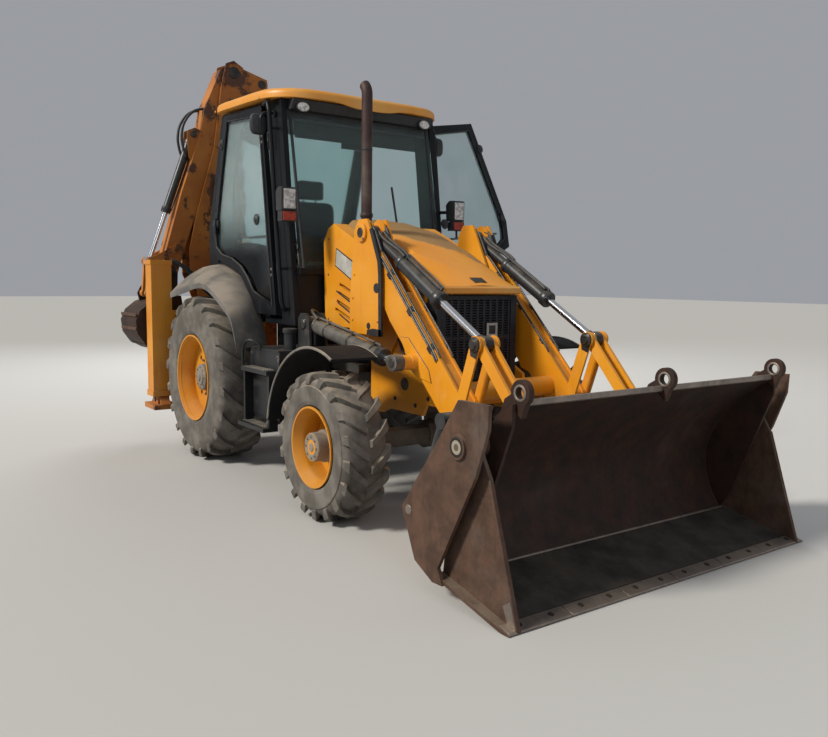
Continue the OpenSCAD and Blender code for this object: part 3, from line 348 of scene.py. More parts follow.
def glass_material(name, tint, pale, alpha, low=None):
    """Tinted glass, smeared with pale; below the height low it is painted dark, as painted shade for the
    cab's inside seen through it, like the cab's side.
    """
    m = Mat(name)
    m.feed(m.b.inputs["Transmission Weight"], m.steps(m.low_down(1.6, 2.3), 0.0, 1.0, alpha, 0.99))
    m.b.inputs["IOR"].default_value = 1.25
    m.color = m.mix(m.noise(2.2, 5, 0.6, 0.35, 0.8), tint, pale)
    # Painted shade: dark below the height low
    if low is not None:
        m.coat(m.low_down(low - 0.10, low + 0.03), (0.05, 0.055, 0.055))
    return m.out(0.08)


GLASS = glass_material("window_tint", (0.70, 0.90, 0.87), (0.80, 0.94, 0.92), 0.96)
# The door's glass carries painted shade below 1.78 m
DOOR_GLASS = glass_material("door_tint", (0.60, 0.74, 0.74), (0.74, 0.84, 0.84), 0.80, low=1.78)


def lens_material(name, dark, light_color):
    """Pressed lens: fine prism lines over a bright reflector."""
    m = Mat(name)
    lines = m.node("TexWave", Scale=60, Vector=m.coord).outputs["Fac"]
    m.bump(lines, 0.6, 0.001)
    m.color = light_color
    m.coat(m.noise(40, 3, 0.55, 0.45, 0.6), dark, 0.7)
    m.coat(lines, dark, 0.3)
    return m.out(0.18)


LENS = lens_material("lamp_lens", (0.22, 0.21, 0.20), (0.78, 0.77, 0.74))
RED_LENS = lens_material("indicator_lens", (0.10, 0.012, 0.006), (0.42, 0.045, 0.015))

# The nodes that another piece stands for need no look of their own
NODES_IN = (
    (CHASSIS, "chassis engine front_axle rear_axle knuckle_right knuckle_left"), (TOWER, "towers"),
    (YELLOW, "nose side_panels loader_arms tilt_levers tilt_links"), (HOOD, "bonnet"), (POST, "rear_frame"),
    (RIM, "rim_rear_right rim_rear_left rim_front_right rim_front_left"), (CAB_BLACK, "cab_frame"),
    (BLACK, "side_tanks"), (FENDER, "front_fenders"), (GRILLE, "grille"), (GLASS, "cab_glass"),
    (PLASTIC, "console"), (BURNT, "exhaust"), (CLAM, "bucket_clam"), (BARREL_GREY, "lift_barrels"),
    (FADED, "carriage kingpost boom dipper hoe_lever hoe_link leg_right leg_left"),
    (BUCKET_RUST_AND_SHADE, "bucket_back bucket_brackets hoe_bucket"),
    (BARREL, "tilt_barrels clam_barrels boom_barrel dipper_barrel hoe_barrel"),
    (CHROME, "lift_rods tilt_rods clam_rods boom_rod dipper_rod hoe_rod"),
)
MERGE = 0.00005  # metres within which the frame's vertices are one
EDGE = 0.003  # width of a rounded edge in metres
for mat, names in NODES_IN:
    for node in (NODES[name] for name in names.split()):
        node.data.materials.clear()
        node.data.materials.append(mat)
        if mat is not GLASS:
            node.modifiers.new("weld", "WELD").merge_threshold = MERGE
            bevel = node.modifiers.new("bevel", "BEVEL")
            bevel.width = 4 * EDGE if mat is HOOD else EDGE
            bevel.segments = 3 if mat is HOOD else 2
            bevel.limit_method = "ANGLE"
            bevel.angle_limit = radians(35)
            node.modifiers.new("normals", "WEIGHTED_NORMAL").keep_sharp = False


# Making pieces
def curve_points(path, steps, closed=False):
    """Smooth run through the points of a path."""
    pts = [Vector(p) for p in path]
    if steps < 2:
        return pts
    out = []
    n = len(pts)
    for i in range(n if closed else n - 1):
        p0 = pts[i - 1] if (i or closed) else pts[0] * 2 - pts[1]
        p1, p2 = pts[i], pts[(i + 1) % n]
        p3 = pts[(i + 2) % n] if (closed or i + 2 < n) else pts[-1] * 2 - pts[-2]
        for k in range(steps):
            t = k / steps
            out.append(0.5 * (2 * p1 + (p2 - p0) * t + (2 * p0 - 5 * p1 + 4 * p2 - p3) * t * t
                              + (3 * p1 - p0 - 3 * p2 + p3) * t ** 3))
    if not closed:
        out.append(pts[-1])
    return out


def skin(rows, n, closed=False, caps=True):
    """Faces between rows of n points, with end faces unless the rows close on themselves."""
    faces = [[j * n + i, j * n + (i + 1) % n, (j + 1) % rows * n + (i + 1) % n, (j + 1) % rows * n + i]
             for j in range(rows if closed else rows - 1) for i in range(n)]
    if caps and not closed:
        faces += [list(range(n - 1, -1, -1)), [(rows - 1) * n + i for i in range(n)]]
    return faces


def around(r, a, y=0, x0=0, z0=0):
    """Point at radius r and angle a round (x0, z0), in the plane at y."""
    return (x0 + r * cos(a), y, z0 + r * sin(a))


X, Y, Z = (1, 0, 0), (0, 1, 0), (0, 0, 1)
BOTH = (1, -1)


class Piece:
    """Gathers shapes, each in its own material, into one mesh that rides on a body. Sizes are in
    millimetres; place maps a local point to machine millimetres, and sides repeats it at -y."""

    def __init__(self, name, slot, body="machine", place=None, sides=(1,)):
        self.name, self.slot, self.body = name, slot, body
        self.place = place or (lambda p: p)
        self.sides = sides
        self.verts, self.faces, self.tags, self.mats = [], [], [], []

    def add(self, mat, verts, faces):
        if mat not in self.mats:
            self.mats.append(mat)
        tag = self.mats.index(mat)
        for side in self.sides:
            k = len(self.verts)
            for v in verts:
                x, y, z = self.place(v)
                self.verts.append(at(x / 1000, side * y / 1000, z / 1000))
            self.faces += [[k + i for i in f] for f in faces]
            self.tags += [tag] * len(faces)

    def plate(self, mat, outline, y0, y1):
        """Outline in x and z, solid between y0 and y1."""
        y0, y1 = sorted((y0, y1))
        n = len(outline)
        verts = [(x, y, z) for y in (y0, y1) for x, z in outline]
        faces = [list(range(n)), list(range(2 * n - 1, n - 1, -1))]
        faces += [[i, (i + 1) % n, n + (i + 1) % n, n + i] for i in range(n)]
        self.add(mat, verts, faces)

    def block(self, mat, x0, x1, y0, y1, z0, z1):
        self.plate(mat, [(x0, z0), (x1, z0), (x1, z1), (x0, z1)], y0, y1)

    def turned(self, mat, start, axis, profile, n=28, ring=False):
        """Turned form: profile is [distance along the axis, radius]; a ring's profile closes on itself."""
        a = Vector(axis).normalized()
        u = a.orthogonal().normalized()
        w = a.cross(u)
        verts = []
        for d, r in profile:
            for i in range(n):
                t = 2 * pi * (i + 0.5) / n
                verts.append(Vector(start) + a * d + (u * cos(t) + w * sin(t)) * r)
        self.add(mat, verts, skin(len(profile), n, ring))

    def bosses(self, s, *rows, mid=0):
        """Turned forms out of side s: material, (x, z), y of the foot from mid, profile and count."""
        for mat, (x, z), y, profile, *n in rows:
            self.turned(mat, (x, mid + s * y, z), (0, s, 0), profile, *n)

    def rod(self, mat, p, q, r, n=16):
        p, q = Vector(p), Vector(q)
        self.turned(mat, p, q - p, [(0, r), ((q - p).length, r)], n)

    def bolts(self, mat, y, r, h, *places, axis=Y):
        for x, z in places:
            self.bolt(mat, (x, y, z), axis, r, h)

    def bolt(self, mat, where, axis, r=8, h=6):
        self.turned(mat, where, axis, [(-1, r * 1.45), (1.5, r * 1.45)], 14)
        self.turned(mat, where, axis, [(1.5, r), (h - 1, r), (h, r * 0.82)], 6)

    def tube(self, mat, path, r, n=10, steps=6, closed=False):
        pts = curve_points(path, steps, closed)
        m = len(pts)
        verts = []
        side = None
        for i, p in enumerate(pts):
            a = pts[(i + 1) % m] if (closed or i + 1 < m) else p
            b = pts[i - 1] if (closed or i) else p
            d = (a - b).normalized()
            side = d.orthogonal() if side is None else side - d * side.dot(d)
            side.normalize()
            up = d.cross(side)
            for k in range(n):
                t = 2 * pi * k / n
                verts.append(p + (side * cos(t) + up * sin(t)) * r)
        self.add(mat, verts, skin(m, n, closed))

    def done(self, bevel=1.5, angle=38, replaces=()):
        mesh = bpy.data.meshes.new(self.name)
        mesh.from_pydata(self.verts, [], self.faces)
        for mat in self.mats:
            mesh.materials.append(mat)
        mesh.polygons.foreach_set("material_index", self.tags)
        bm = bmesh.new()
        bm.from_mesh(mesh)
        bmesh.ops.recalc_face_normals(bm, faces=bm.faces)
        bm.to_mesh(mesh)
        bm.free()
        return finish_piece(mesh, self.name, self.body, bevel, angle, replaces)


def pair(name, slot, body="machine", place=None):
    return Piece(name, slot, body, place, BOTH)


def finish_piece(mesh, name, body, bevel, angle=38, replaces=()):
    mesh.polygons.foreach_set("use_smooth", [True] * len(mesh.polygons))
    mesh.set_sharp_from_angle(angle=radians(angle))
    obj = show(bpy.data.objects.new(name, mesh))
    if bevel:
        mod = obj.modifiers.new("bevel", "BEVEL")
        mod.width = bevel / 1000
        mod.segments = 2
        mod.limit_method = "ANGLE"
        mod.angle_limit = radians(angle)
    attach(obj, body)
    if replaces:
        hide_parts(*replaces)
    return obj


def along(p, q, y):
    """Local x runs from p to q, both (x, z), in the plane at y."""
    a = atan2(q[1] - p[1], q[0] - p[0])
    c, s = cos(a), sin(a)
    return lambda v: (p[0] + c * v[0] - s * v[2], y + v[1], p[1] + s * v[0] + c * v[2])


def hoe(v):
    """Plane of the digging arm: local x points away from the slew axis."""
    return (SLEW_X + v[1], -v[0], v[2])


rng = random.Random(7)

# Tyres and wheels
WHEELS = [
    # name, x, y, z, side, radius, rim radius, width, bars a side, lug height, trail in degrees
    (end + "_" + hand, *middle, side, middle[2], *sizes)
    for end, middle, *sizes in (("rear", joint_at("rear_wheel_left"), 362, 430, 20, 38, 13),
                                ("front", joint_at("front_wheel_left"), 258, 320, 18, 34, 14))
    for hand, side in (("right", -1), ("left", 1))
]


def tyre(name, cx, cy, cz, side, r, r0, w, bars, lug, trail):
    h = w / 2
    p = Piece("tyre_tread_" + name, "tyre_rubber", "wheel_" + name,
              lambda v: (cx + v[0], side * (cy + v[1]), cz + v[2]))
    half = [(h - 44, r0 + 0.5), (h - 24, r0 + 1), (h - 13, r0 + 12), (h - 9, r0 + 20), (h - 9, r0 + 26),
            (h - 5, r0 + 30), (h - 1, (r + r0) / 2 - 20), (h - 1, (r + r0) / 2 + 20), (h - 8, r - lug - 52),
            (h - 22, r - lug - 26), (h - 46, r - lug - 8), (h * 0.5, r - lug), (0, r - lug + 3)]
    prof = half + [(-y, q) for y, q in reversed(half[:-1])]
    n = 120
    p.add(RUBBER, [around(q, 2 * pi * i / n, y) for y, q in prof for i in range(n)],
          skin(len(prof), n, caps=False))
    reach = h - 14
    # Stations of a bar: y and radius of its top, y and radius of its foot, share of the trail, half width
    bar = [(8, r, 8, r - lug - 10, 0.0, 20), (0.28 * reach, r, 0.28 * reach, r - lug - 10, 0.2, 22),
           (0.58 * reach, r, 0.58 * reach, r - lug - 12, 0.5, 25),
           (0.84 * reach, r - 5, 0.8 * reach, r - lug - 16, 0.8, 29),
           (reach, r - 13, h - 46, r - lug - 24, 1.0, 32),
           (h - 4, r - 40, h - 40, r - lug - 40, 1.08, 32), (h - 1.5, r - 74, h - 26, r - lug - 66, 1.12, 26)]
    for s in (1, -1):
        for i in range(bars):
            base = 2 * pi / bars * (i + (0.5 if s * side > 0 else 0))
            worn = rng.uniform(0, 2)
            verts, faces = [], []
            for yt, rt, yf, rf, share, wide in bar:
                turn = base + radians(trail) * share
                wide = wide * rng.uniform(0.92, 1.06)
                cut = worn * rng.uniform(0, 1) if rt > r - 20 else 0
                for y, q, d in ((yf, rf, -wide - 5), (yt, rt - cut, -wide), (yt, rt - cut, wide),
                                (yf, rf, wide + 5)):
                    verts.append(around(q, turn + d / r, s * y))
            for k in range(len(bar) - 1):
                o = 4 * k
                faces += [[o + e, o + e + 1, o + e + 5, o + e + 4] for e in range(3)]
                faces.append([o + 3, o, o + 4, o + 7])
            faces += [[0, 1, 2, 3], [len(verts) - 1 - e for e in range(4)]]
            p.add(RUBBER, verts, faces)
    p.done(bevel=5.0, angle=30, replaces=["tyre_" + name])


for row in WHEELS:
    tyre(*row)
    name, cx, cy, cz, side = row[:5]
    hub = Piece("hub_" + name, "chassis_paint", "wheel_" + name,
                lambda v, cx=cx, cy=cy, cz=cz, side=side: (cx + v[0], side * (cy + v[1]), cz + v[2]))
    # The studs' ring and y, and the ring and y of the hub cap's bolts
    if name.startswith("rear"):
        ring, cap, inner, inner_y = 152, 70, 86, 136
        hub.turned(GREY, (0, 60, 0), Y, [(0, 122), (20, 122), (24, 112), (71, 111), (76, 104), (76, 70),
                   (84, 66), (88, 34), (96, 30), (98, 12)], 40)
    else:
        ring, cap, inner, inner_y = 112, -10, 68, 152
        hub.turned(GREY, (0, -10, 0), Y, [(0, 128), (14, 128), (18, 98), (60, 96), (64, 104), (80, 104),
                   (84, 94), (154, 92), (162, 84), (162, 52), (157, 46), (157, 30), (164, 26), (165, 12)], 40)
    for k in range(8):
        hub.bolt(BARE, around(inner, k * pi / 4, inner_y), Y, 7)
    for k in range(10):
        hub.bolt(BARE, around(ring, 2 * pi * (k + 0.25) / 10, cap), Y, 12, 22)
    # Valve
    foot, tip = (row[6] - 62) * 0.7, ((row[6] - 66) * 0.7, cap + 40, (row[6] - 58) * 0.7)
    hub.rod(SEAL, (foot, cap + 4, foot), tip, 5, 8)
    hub.done()

# Doors
HINGE = Vector(joint_at("door_left_hinge"))
OPENED = Matrix.Rotation(radians(-80), 4, Vector((-240, 0, 1600)))
PANE = [(940, 1320), (728, 2760), (105, 2810), (-165, 1940), (-150, 1790), (-36, 1724), (170, 1690),
        (352, 1626), (490, 1535), (598, 1423)]


def shut_right(v):
    return (v[0], -v[1], v[2])


def swung_left(v):
    return tuple(OPENED @ (Vector(v) - HINGE) + HINGE)


def door(name, place):
    mesh = NODES[name].data.copy()
    mesh.materials.clear()
    for mat in (CAB_BLACK, DOOR_GLASS):
        mesh.materials.append(mat)
    bm = bmesh.new()
    bm.from_mesh(mesh)
    bmesh.ops.remove_doubles(bm, verts=bm.verts, dist=MERGE)
    a, b, c = (at(*(x / 1000 for x in place(q))) for q in ((0, 724, 1500), (0, 724, 2500), (500, 724, 1500)))
    across = (b - a).cross(c - a).normalized()
    for f in bm.faces:
        f.material_index = int(all(abs((v.co - a).dot(across)) < 0.0045 for v in f.verts))
    bm.to_mesh(mesh)
    bm.free()
    finish_piece(mesh, name + "_leaf", name, 2.5, replaces=[name])
    trim = Piece(name + "_trim", "black_paint", name, place)
    for y, r in ((748, 8), (712, 6)):
        trim.tube(SEAL, [(x, y, z) for x, z in PANE], r, 8, 1, closed=True)
    # Lock with its pull handle, window catch, and the inner bar across the pane with its boss
    trim.turned(PLASTIC, (-150, 747, 1985), Y, [(0, 46), (10, 44), (14, 30), (26, 28), (28, 20)])
    trim.block(BLACK, -182, -120, 758, 768, 1935, 1975)
    trim.turned(PLASTIC, (-10, 747, 2640), Y, [(0, 40), (9, 38), (12, 24), (20, 20)])
    trim.tube(BLACK, [(-96, 704, 1850), (100, 684, 1850), (560, 684, 1850), (820, 704, 1850)], 11, 10, 5)
    trim.turned(PLASTIC, (640, 729, 1985), Y, [(0, 44), (12, 42), (18, 24), (24, 20)])
    if name == "door_right":
        trim.block(PLATE, 330, 470, 718, 720.5, 1812, 1846)
    for z in (1550, 2560):
        x = 1000 - 0.15 * (z - 1250)
        trim.bolts(BARE, 745, 8, 6, (x - 34, z), (x - 34, z + 44))
    trim.done(1.2)


door("door_right", shut_right)
door("door_left", swung_left)

# Cab, outside
cab = pair("cab_trim", "black_paint")
# Tube down the front pillar
cab.tube(CAB_BLACK, [(800, 738, 2835), (880, 752, 2842), (925, 760, 2790), (955, 762, 2640),
                     (1095, 762, 1560), (1120, 752, 1330), (1120, 712, 1290)], 17, 12)
for x, z in ((955, 2640), (1090, 1600)):
    cab.rod(BLACK, (x, 700, z), (x, 762, z), 10, 10)
# Windscreen seals and its lower ledge
cab.tube(SEAL, [(1216, 620, 1606), (1000, 626, 2790)], 12, 8, 1)
cab.block(CAB_BLACK, 1200, 1226, 0, 655, 1560, 1604)
cab.done()

front = Piece("cab_header", "black_paint")
# Header under the roof, and the seal below it
front.plate(PLASTIC, [(1000, 2770), (1060, 2778), (1078, 2810), (1100, 2846), (1000, 2846)], -640, 640)
front.block(SEAL, 985, 1010, -655, 655, 2700, 2776)
# Sun blind and rear view mirror
front.plate(LINING, [(955, 2590), (960, 2590), (940, 2770), (930, 2770)], -560, 560)
front.block(PLASTIC, 880, 900, -110, 110, 2560, 2640)
# Wiper: motor boss, double arm and blade on the glass
front.turned(PLASTIC, (1222, -60, 1660), (1, 0, 0.18), [(0, 26), (16, 24), (24, 14)], 20)
front.tube(SEAL, [(1244, -60, 1662), (1222, 60, 1760), (1196, 210, 1905)], 7, 8, 4)
front.tube(SEAL, [(1258, -60, 1650), (1232, 70, 1750), (1206, 215, 1885)], 5, 8, 4)
front.tube(SEAL, [(1272, 245, 1580), (1208, 228, 1890), (1140, 205, 2260)], 9, 8, 6)
front.done()

# Roof cap: rounded plan, rolled edge, and a front lip that dips at its middle
plan = [(0, 0), (-2, 250), (-12, 440), (-46, 590), (-130, 704), (-270, 776), (-480, 794), (-800, 795),
        (-1080, 793), (-1200, 770), (-1268, 700), (-1289, 560), (-1290, 280)]
plan = plan + [(x, -y) for x, y in reversed(plan[1:])]
plan = curve_points([(x, y, 0) for x, y in plan], 5, closed=True)
fall = tan(radians(2))
verts = []
# Inset from the plan and height of each ring
rings = [(60, 2), (6, 0), (0, 4), (0, 34), (3, 47), (11, 60), (26, 70), (60, 77), (200, 80), (420, 80)]
for inset, z in rings:
    for q in plan:
        toward = Vector((q.x + 645, q.y, 0))
        e = q - toward.normalized() * inset
        dip = 30 * exp(-(q.y / 250) ** 4) * max(0.0, 1 + q.x / 40) if z < 20 and inset < 10 else 0
        verts.append((1159 + e.x, e.y, 2850.3 + z - dip - e.x * fall))
cap = Piece("roof_cap", "yellow_paint")
cap.add(YELLOW_HOOD, verts, skin(len(rings), len(plan)))
cap.done(0, angle=50, replaces=["cab_roof"])

roof = pair("roof_trim", "yellow_paint")
for x in (820, 300, -40):
    roof.bolt(YELLOW_HOOD, (x, 788, 2905 - 0.035 * x), (0, 1, 0.2), 7, 4)
roof.done(1.0)

# Lamps and mirrors
lamps = pair("lamp_units", "lamp_lens")
# Roof lamps: oval bezel and lens
for mat, grow, d0, d1 in ((PLASTIC, 1.0, 0, 60), (LENS, 0.86, 58, 66)):
    ring = [(0, 0.9), (d1 * 0.5 - d0 * 0.5, 1.0), (d1 - d0 - 3, 1.0), (d1 - d0, 0.86)]
    turn = [2 * pi * i / 36 for i in range(36)]
    lamps.add(mat, [(1030 + d0 + d, 555 + 56 * grow * f * cos(t), 2794 + 38 * grow * f * sin(t))
                    for d, f in ring for t in turn], skin(4, 36))
lamps.block(PLASTIC, 1045, 1075, 540, 570, 2828, 2856)
# Headlamp over an indicator, in one housing on a tube arm
lamps.plate(PLASTIC, [(1196, 2016), (1232, 2010), (1284, 2012), (1288, 2178), (1232, 2180), (1190, 2150)],
            716, 834)
lamps.block(SEAL, 1286, 1294, 722, 828, 2018, 2172)
lamps.block(LENS, 1292, 1299, 730, 820, 2026, 2164)
lamps.block(PLASTIC, 1216, 1290, 718, 832, 1936, 2008)
lamps.block(RED_LENS, 1288, 1300, 726, 826, 1942, 2004)
lamps.tube(BLACK, [(1040, 702, 2096), (1060, 744, 2096), (1110, 758, 2094), (1200, 766, 2092)], 13, 12, 5)
lamps.tube(BLACK, [(1260, 775, 1940), (1262, 776, 1900), (1262, 776, 1880)], 9, 10, 2)
for z in (2040, 2150):
    lamps.bolt(BARE, (1296, 724, z), X, 3, 3)
lamps.done(4.0, replaces=["lamps"])

mirror = pair("mirror_units", "black_paint")
mirror.tube(BLACK, [(905, 700, 2752), (908, 745, 2756), (912, 795, 2745), (912, 820, 2700), (912, 822, 2600)],
            11, 12, 5)
mirror.turned(PLASTIC, (905, 702, 2752), Y, [(0, 24), (10, 24), (14, 15)], 20)
head = []
for d, f in ((0, 0.78), (10, 0.96), (26, 1.0), (30, 0.94)):
    for i in range(28):
        t = 2 * pi * i / 28
        c, s = (copysign(abs(v) ** 0.6, v) for v in (cos(t), sin(t)))
        head.append((914 - d, 830 + 66 * f * c, 2665 + 78 * f * s))
mirror.add(PLASTIC, head, skin(4, 28))
mirror.done(2.0, replaces=["mirrors"])

# Cab, inside
inside = Piece("cab_inside", "dark_plastic")
inside.plate(LINING, [(-60, 2800), (980, 2762), (980, 2768), (-60, 2806)], -630, 630)
inside.block(LINING, -380, 820, -560, 560, 1221, 1228)
for s in (-1, 1):
    inside.plate(LINING, [(-370, 1221), (520, 1221), (460, 1480), (330, 1660), (60, 1780), (-370, 1780)],
                 s * 470, s * 560)
    inside.plate(PLASTIC, [(80, 1500), (560, 1480), (600, 1560), (560, 1620), (100, 1700)],
                 s * 300, s * 400)
    for x in (420, 470, 520):
        inside.tube(SEAL, [(x, s * 350, 1600), (x + 10, s * 350, 1700), (x + 26, s * 352, 1770)], 7, 8, 3)
        inside.turned(PLASTIC, (x + 26, s * 352, 1768), (0.1, 0, 1),
                      [(0, 10), (14, 19), (36, 19), (44, 10)], 16)
# Dash under the windscreen, with a plain hooded dial block
inside.plate(PLASTIC, [(1135, 1230), (1135, 1560), (1080, 1600), (960, 1590), (930, 1540), (1010, 1380),
                       (1040, 1230)], -330, 330)
inside.plate(PLASTIC, [(1000, 1585), (1060, 1600), (1050, 1700), (960, 1720), (940, 1660)], -170, 170)
for y in (-90, 0, 90):
    inside.turned(BARE, (952, y, 1660), (-1, 0, 0.3), [(0, 32), (3, 30)], 24)
# Side column by the right door, and a grab rail
inside.plate(PLASTIC, [(560, 1228), (900, 1228), (880, 1480), (760, 1560), (600, 1540)], -620, -500)
inside.tube(SEAL, [(-60, 200, 1640), (-40, 240, 1720), (40, 268, 1690), (180, 266, 1560)], 9, 8, 5)
inside.done(6.0)

wheel = Piece("steering_trim", "dark_plastic", place=along((915, 1260), (740, 1840), 0))
wheel.turned(PLASTIC, (30, 0, 0), X, [(0, 78), (60, 70), (300, 56), (420, 52), (470, 60), (560, 58)])
wheel.turned(PLASTIC, (600, 0, 0), X, [(0, 52), (14, 50), (22, 36)])
for s in (-1, 1):
    wheel.tube(SEAL, [(520, s * 50, 0), (530, s * 120, 10), (545, s * 170, 22)], 7, 8, 4)
wheel.done(2.0)


# Seat
def cushion(name, mid, size, crown, lean=0.0, channels=0):
    """Crowned pad with sides pulled in between its corners and sewn channels across it."""
    count = (24, 24, 6)
    sx, sy, sz = size
    pts, faces, index = [], [], {}

    def point(u, v, w):
        pull = 1 - 0.035 * (1 - v * v) * abs(u) ** 3
        pull_y = 1 - 0.035 * (1 - u * u) * abs(v) ** 3
        edge = (1 - abs(u) ** 6) * (1 - abs(v) ** 6)
        x = u * sx / 2 * pull * (1 - 0.10 * abs(v) ** 6 * abs(u))
        y = v * sy / 2 * pull_y * (1 - 0.10 * abs(u) ** 6 * abs(v))
        z = w * sz / 2 * (0.72 + 0.28 * edge)
        if w > 0:
            z += crown * edge * w * (0.75 + 0.25 * abs(v))
            if channels:
                z -= 9 * w * exp(-((sin(channels * pi * (u + 1) / 2)) / 0.16) ** 2) * edge
        return (x, y, z)

    for q in product(*(range(n + 1) for n in count)):
        if any(i in (0, n) for i, n in zip(q, count)):
            index[q] = len(pts)
            pts.append(point(*(2 * i / n - 1 for i, n in zip(q, count))))
    for flat, a, b in ((2, 0, 1), (1, 0, 2), (0, 1, 2)):
        for i, j, k in product(range(count[a]), range(count[b]), (0, count[flat])):
            quad = []
            for da, db in ((0, 0), (1, 0), (1, 1), (0, 1)):
                corner = {flat: k, a: i + da, b: j + db}
                quad.append(index[corner[0], corner[1], corner[2]])
            faces.append(quad)
    turn = Matrix.Rotation(radians(lean), 4, "Y")

    def place(v):
        q = turn @ Vector(v)
        return (mid[0] + q.x, mid[1] + q.y, mid[2] + q.z)

    p = Piece(name, "seat_fabric", place=place)
    p.add(FABRIC, pts, faces)
    obj = p.done(0, angle=70, replaces=["seat"])
    sub = obj.modifiers.new("smooth", "SUBSURF")
    sub.levels = sub.render_levels = 1


cushion("seat_cushion", (388, 0, 1590), (460, 470, 120), 24, 0, 4)
cushion("seat_back", (150, 0, 1932), (545, 452, 118), 16, 90, 4)
cushion("seat_headrest", (140, 0, 2300), (165, 254, 90), 10, 90, 0)
base = Piece("seat_base", "dark_plastic")
for k in range(6):
    fold = 8 * (k % 2)
    base.block(SEAL, 206 + fold, 554 - fold, -146 + fold, 146 - fold, 1228 + 48 * k, 1276 + 48 * k)
base.block(PLASTIC, 160, 600, -200, 200, 1514, 1532)
for s in (-1, 1):
    base.tube(BARE, [(140, s * 60, 2190), (140, s * 60, 2270)], 7, 8, 1)
    base.plate(PLASTIC, [(120, 1700), (420, 1690), (440, 1712), (420, 1730), (120, 1745)], s * 240, s * 262)
base.plate(PLASTIC, [(84, 1560), (110, 1560), (100, 2180), (82, 2180)], -215, 215)
base.done(3.0, replaces=["seat"])

# Towers, side panels, bonnet, grille and nose
tower = pair("tower_fittings", "yellow_paint")
tower.bosses(1, (YELLOW, ARM_PIN, 552, [(-13, 62), (1, 62), (3, 56)], 36),
             (GREASE, ARM_PIN, 552, [(0, 34), (6, 34), (9, 24)], 32))
tower.bolts(BARE, 553, 8, 7, (1935, 1800))
tower.bosses(1, (SEAL, (2082, 1470), 537, [(0, 33), (4, 33), (5, 26)]),
             (SEAL, (1985, 1215), 537, [(0, 24), (3, 22)], 24))
tower.bolts(YELLOW, 538, 8, 7, (1780, 1250), (1780, 1400), (2095, 1250), (1800, 1560))
# Painted shade: dark strips along the plate's front edge and its foot
tower.plate(SEAL, [(1988, 1858), (2012, 1866), (2124, 1650), (2136, 1560), (2143, 1150), (2108, 1150),
                   (2100, 1556), (2090, 1640)], 524, 538.5)
tower.plate(SEAL, [(1960, 1150), (2143, 1150), (2143, 1196), (2040, 1200), (1966, 1188)], 524, 538.5)
# Painted shade: a dark block in the slot between the side panel and the post, and a dark strip on the plate
# beside it
tower.block(SEAL, 1738, 1746, 402, 470, 1185, 1776)
tower.plate(SEAL, [(1742, 1200), (1748, 1200), (1800, 1640), (1790, 1640)], 524, 537)
# Rear bracket of the lift ram: pin with its keeper
tower.bosses(1, (GREASE, LIFT_BASE, 724, [(0, 40), (6, 38), (12, 30)]))
tower.bolts(BARE, 725, 7, 6, (1430, 1230))
tower.done()

panel = pair("panel_fittings", "yellow_paint")
panel.plate(SEAL, [(1398, 1622), (1416, 1754), (1736, 1620), (1736, 1470)], 460, 462)
panel.plate(PLATE, [(1408, 1628), (1424, 1742), (1726, 1612), (1726, 1486)], 461, 463.5)
# Louvres: over each yellow slat a dark strip, painted shade in its opening
for k in range(3):
    x, z = 1418 + 22 * k, 1440 - 84 * k
    for mat, top, y0, y1 in ((SEAL, z + 6, 459, 461.5), (YELLOW, z - 6, 460, 466)):
        panel.plate(mat, [(x, top), (x + 290, top - 112), (x + 290, top - 124), (x, top - 12)], y0, y1)
panel.bolts(BARE, 460, 7, 5, (1300, 1230), (1300, 1560), (1310, 1820), (1700, 1230), (1710, 1720))
panel.done(0.8)

hood = Piece("bonnet_fittings", "yellow_paint", "bonnet")
# Painted shade: a thin dark sheet in a shallow recess near the front lip; the lip's lower return; and thin
# dark tubes as painted shade in the side creases
hood.plate(SEAL, [(2452, 1545), (2512, 1515), (2512, 1517.5), (2452, 1547.5)], -52, 52)
hood.plate(YELLOW_HOOD, [(2534, 1440), (2549, 1446), (2552, 1478), (2540, 1492)], -318, 318)
for s in (-1, 1):
    hood.tube(SEAL, [(1300, s * 331, 1784), (1700, s * 332, 1654), (2100, s * 334, 1544),
                     (2400, s * 334, 1452)], 6, 8, 4)
    hood.bosses(s, (SEAL, (2440, 1490), 333, [(0, 20), (4, 18)], 20))
hood.done()

grille = Piece("grille_face", "black_paint")
for z in range(908, 1418, 17):
    grille.block(GRILLE, 2478, 2484, -304, 304, z, z + 8)
for y in (-306, 288):
    grille.block(GRILLE, 2482, 2491, y, y + 18, 896, 1404)
grille.block(PLATE, 2486, 2490.5, 78, 172, 1156, 1246)
grille.block(SEAL, 2489, 2491, 96, 154, 1172, 1230)
grille.turned(SEAL, (2488, 0, 1392), X, [(0, 9), (4, 8)], 16)
grille.done(1.0)

nose = pair("nose_fittings", "yellow_paint")
nose.bolts(CHASSIS, 366, 11, 9, (2440, 760), (2520, 820), (2300, 700), (2060, 720), (1980, 1050),
           (2200, 1020))
nose.bosses(1, (CHASSIS, (WHEELBASE, 830), 366, [(0, 44), (5, 42), (8, 30)]))
nose.tube(HOSE, [(2100, 372, 1140), (2180, 376, 1020), (2280, 374, 930), (2380, 372, 900)], 9, 8, 5)
nose.done()

# Exhaust
PIPE_X, PIPE_Y = 1695, -376
pipe = Piece("exhaust_fittings", "exhaust_steel")
for z in (1500, 1960):
    pipe.turned(BURNT, (PIPE_X, PIPE_Y, z), Z, [(0, 42), (4, 45), (26, 45), (30, 42)])
    pipe.bolt(BARE, (PIPE_X, -422, z + 15), (0, -1, 0), 6, 8)
pipe.turned(SEAL, (PIPE_X, PIPE_Y, 2420), Z, [(0, 39), (3, 40), (14, 40), (16, 39)])
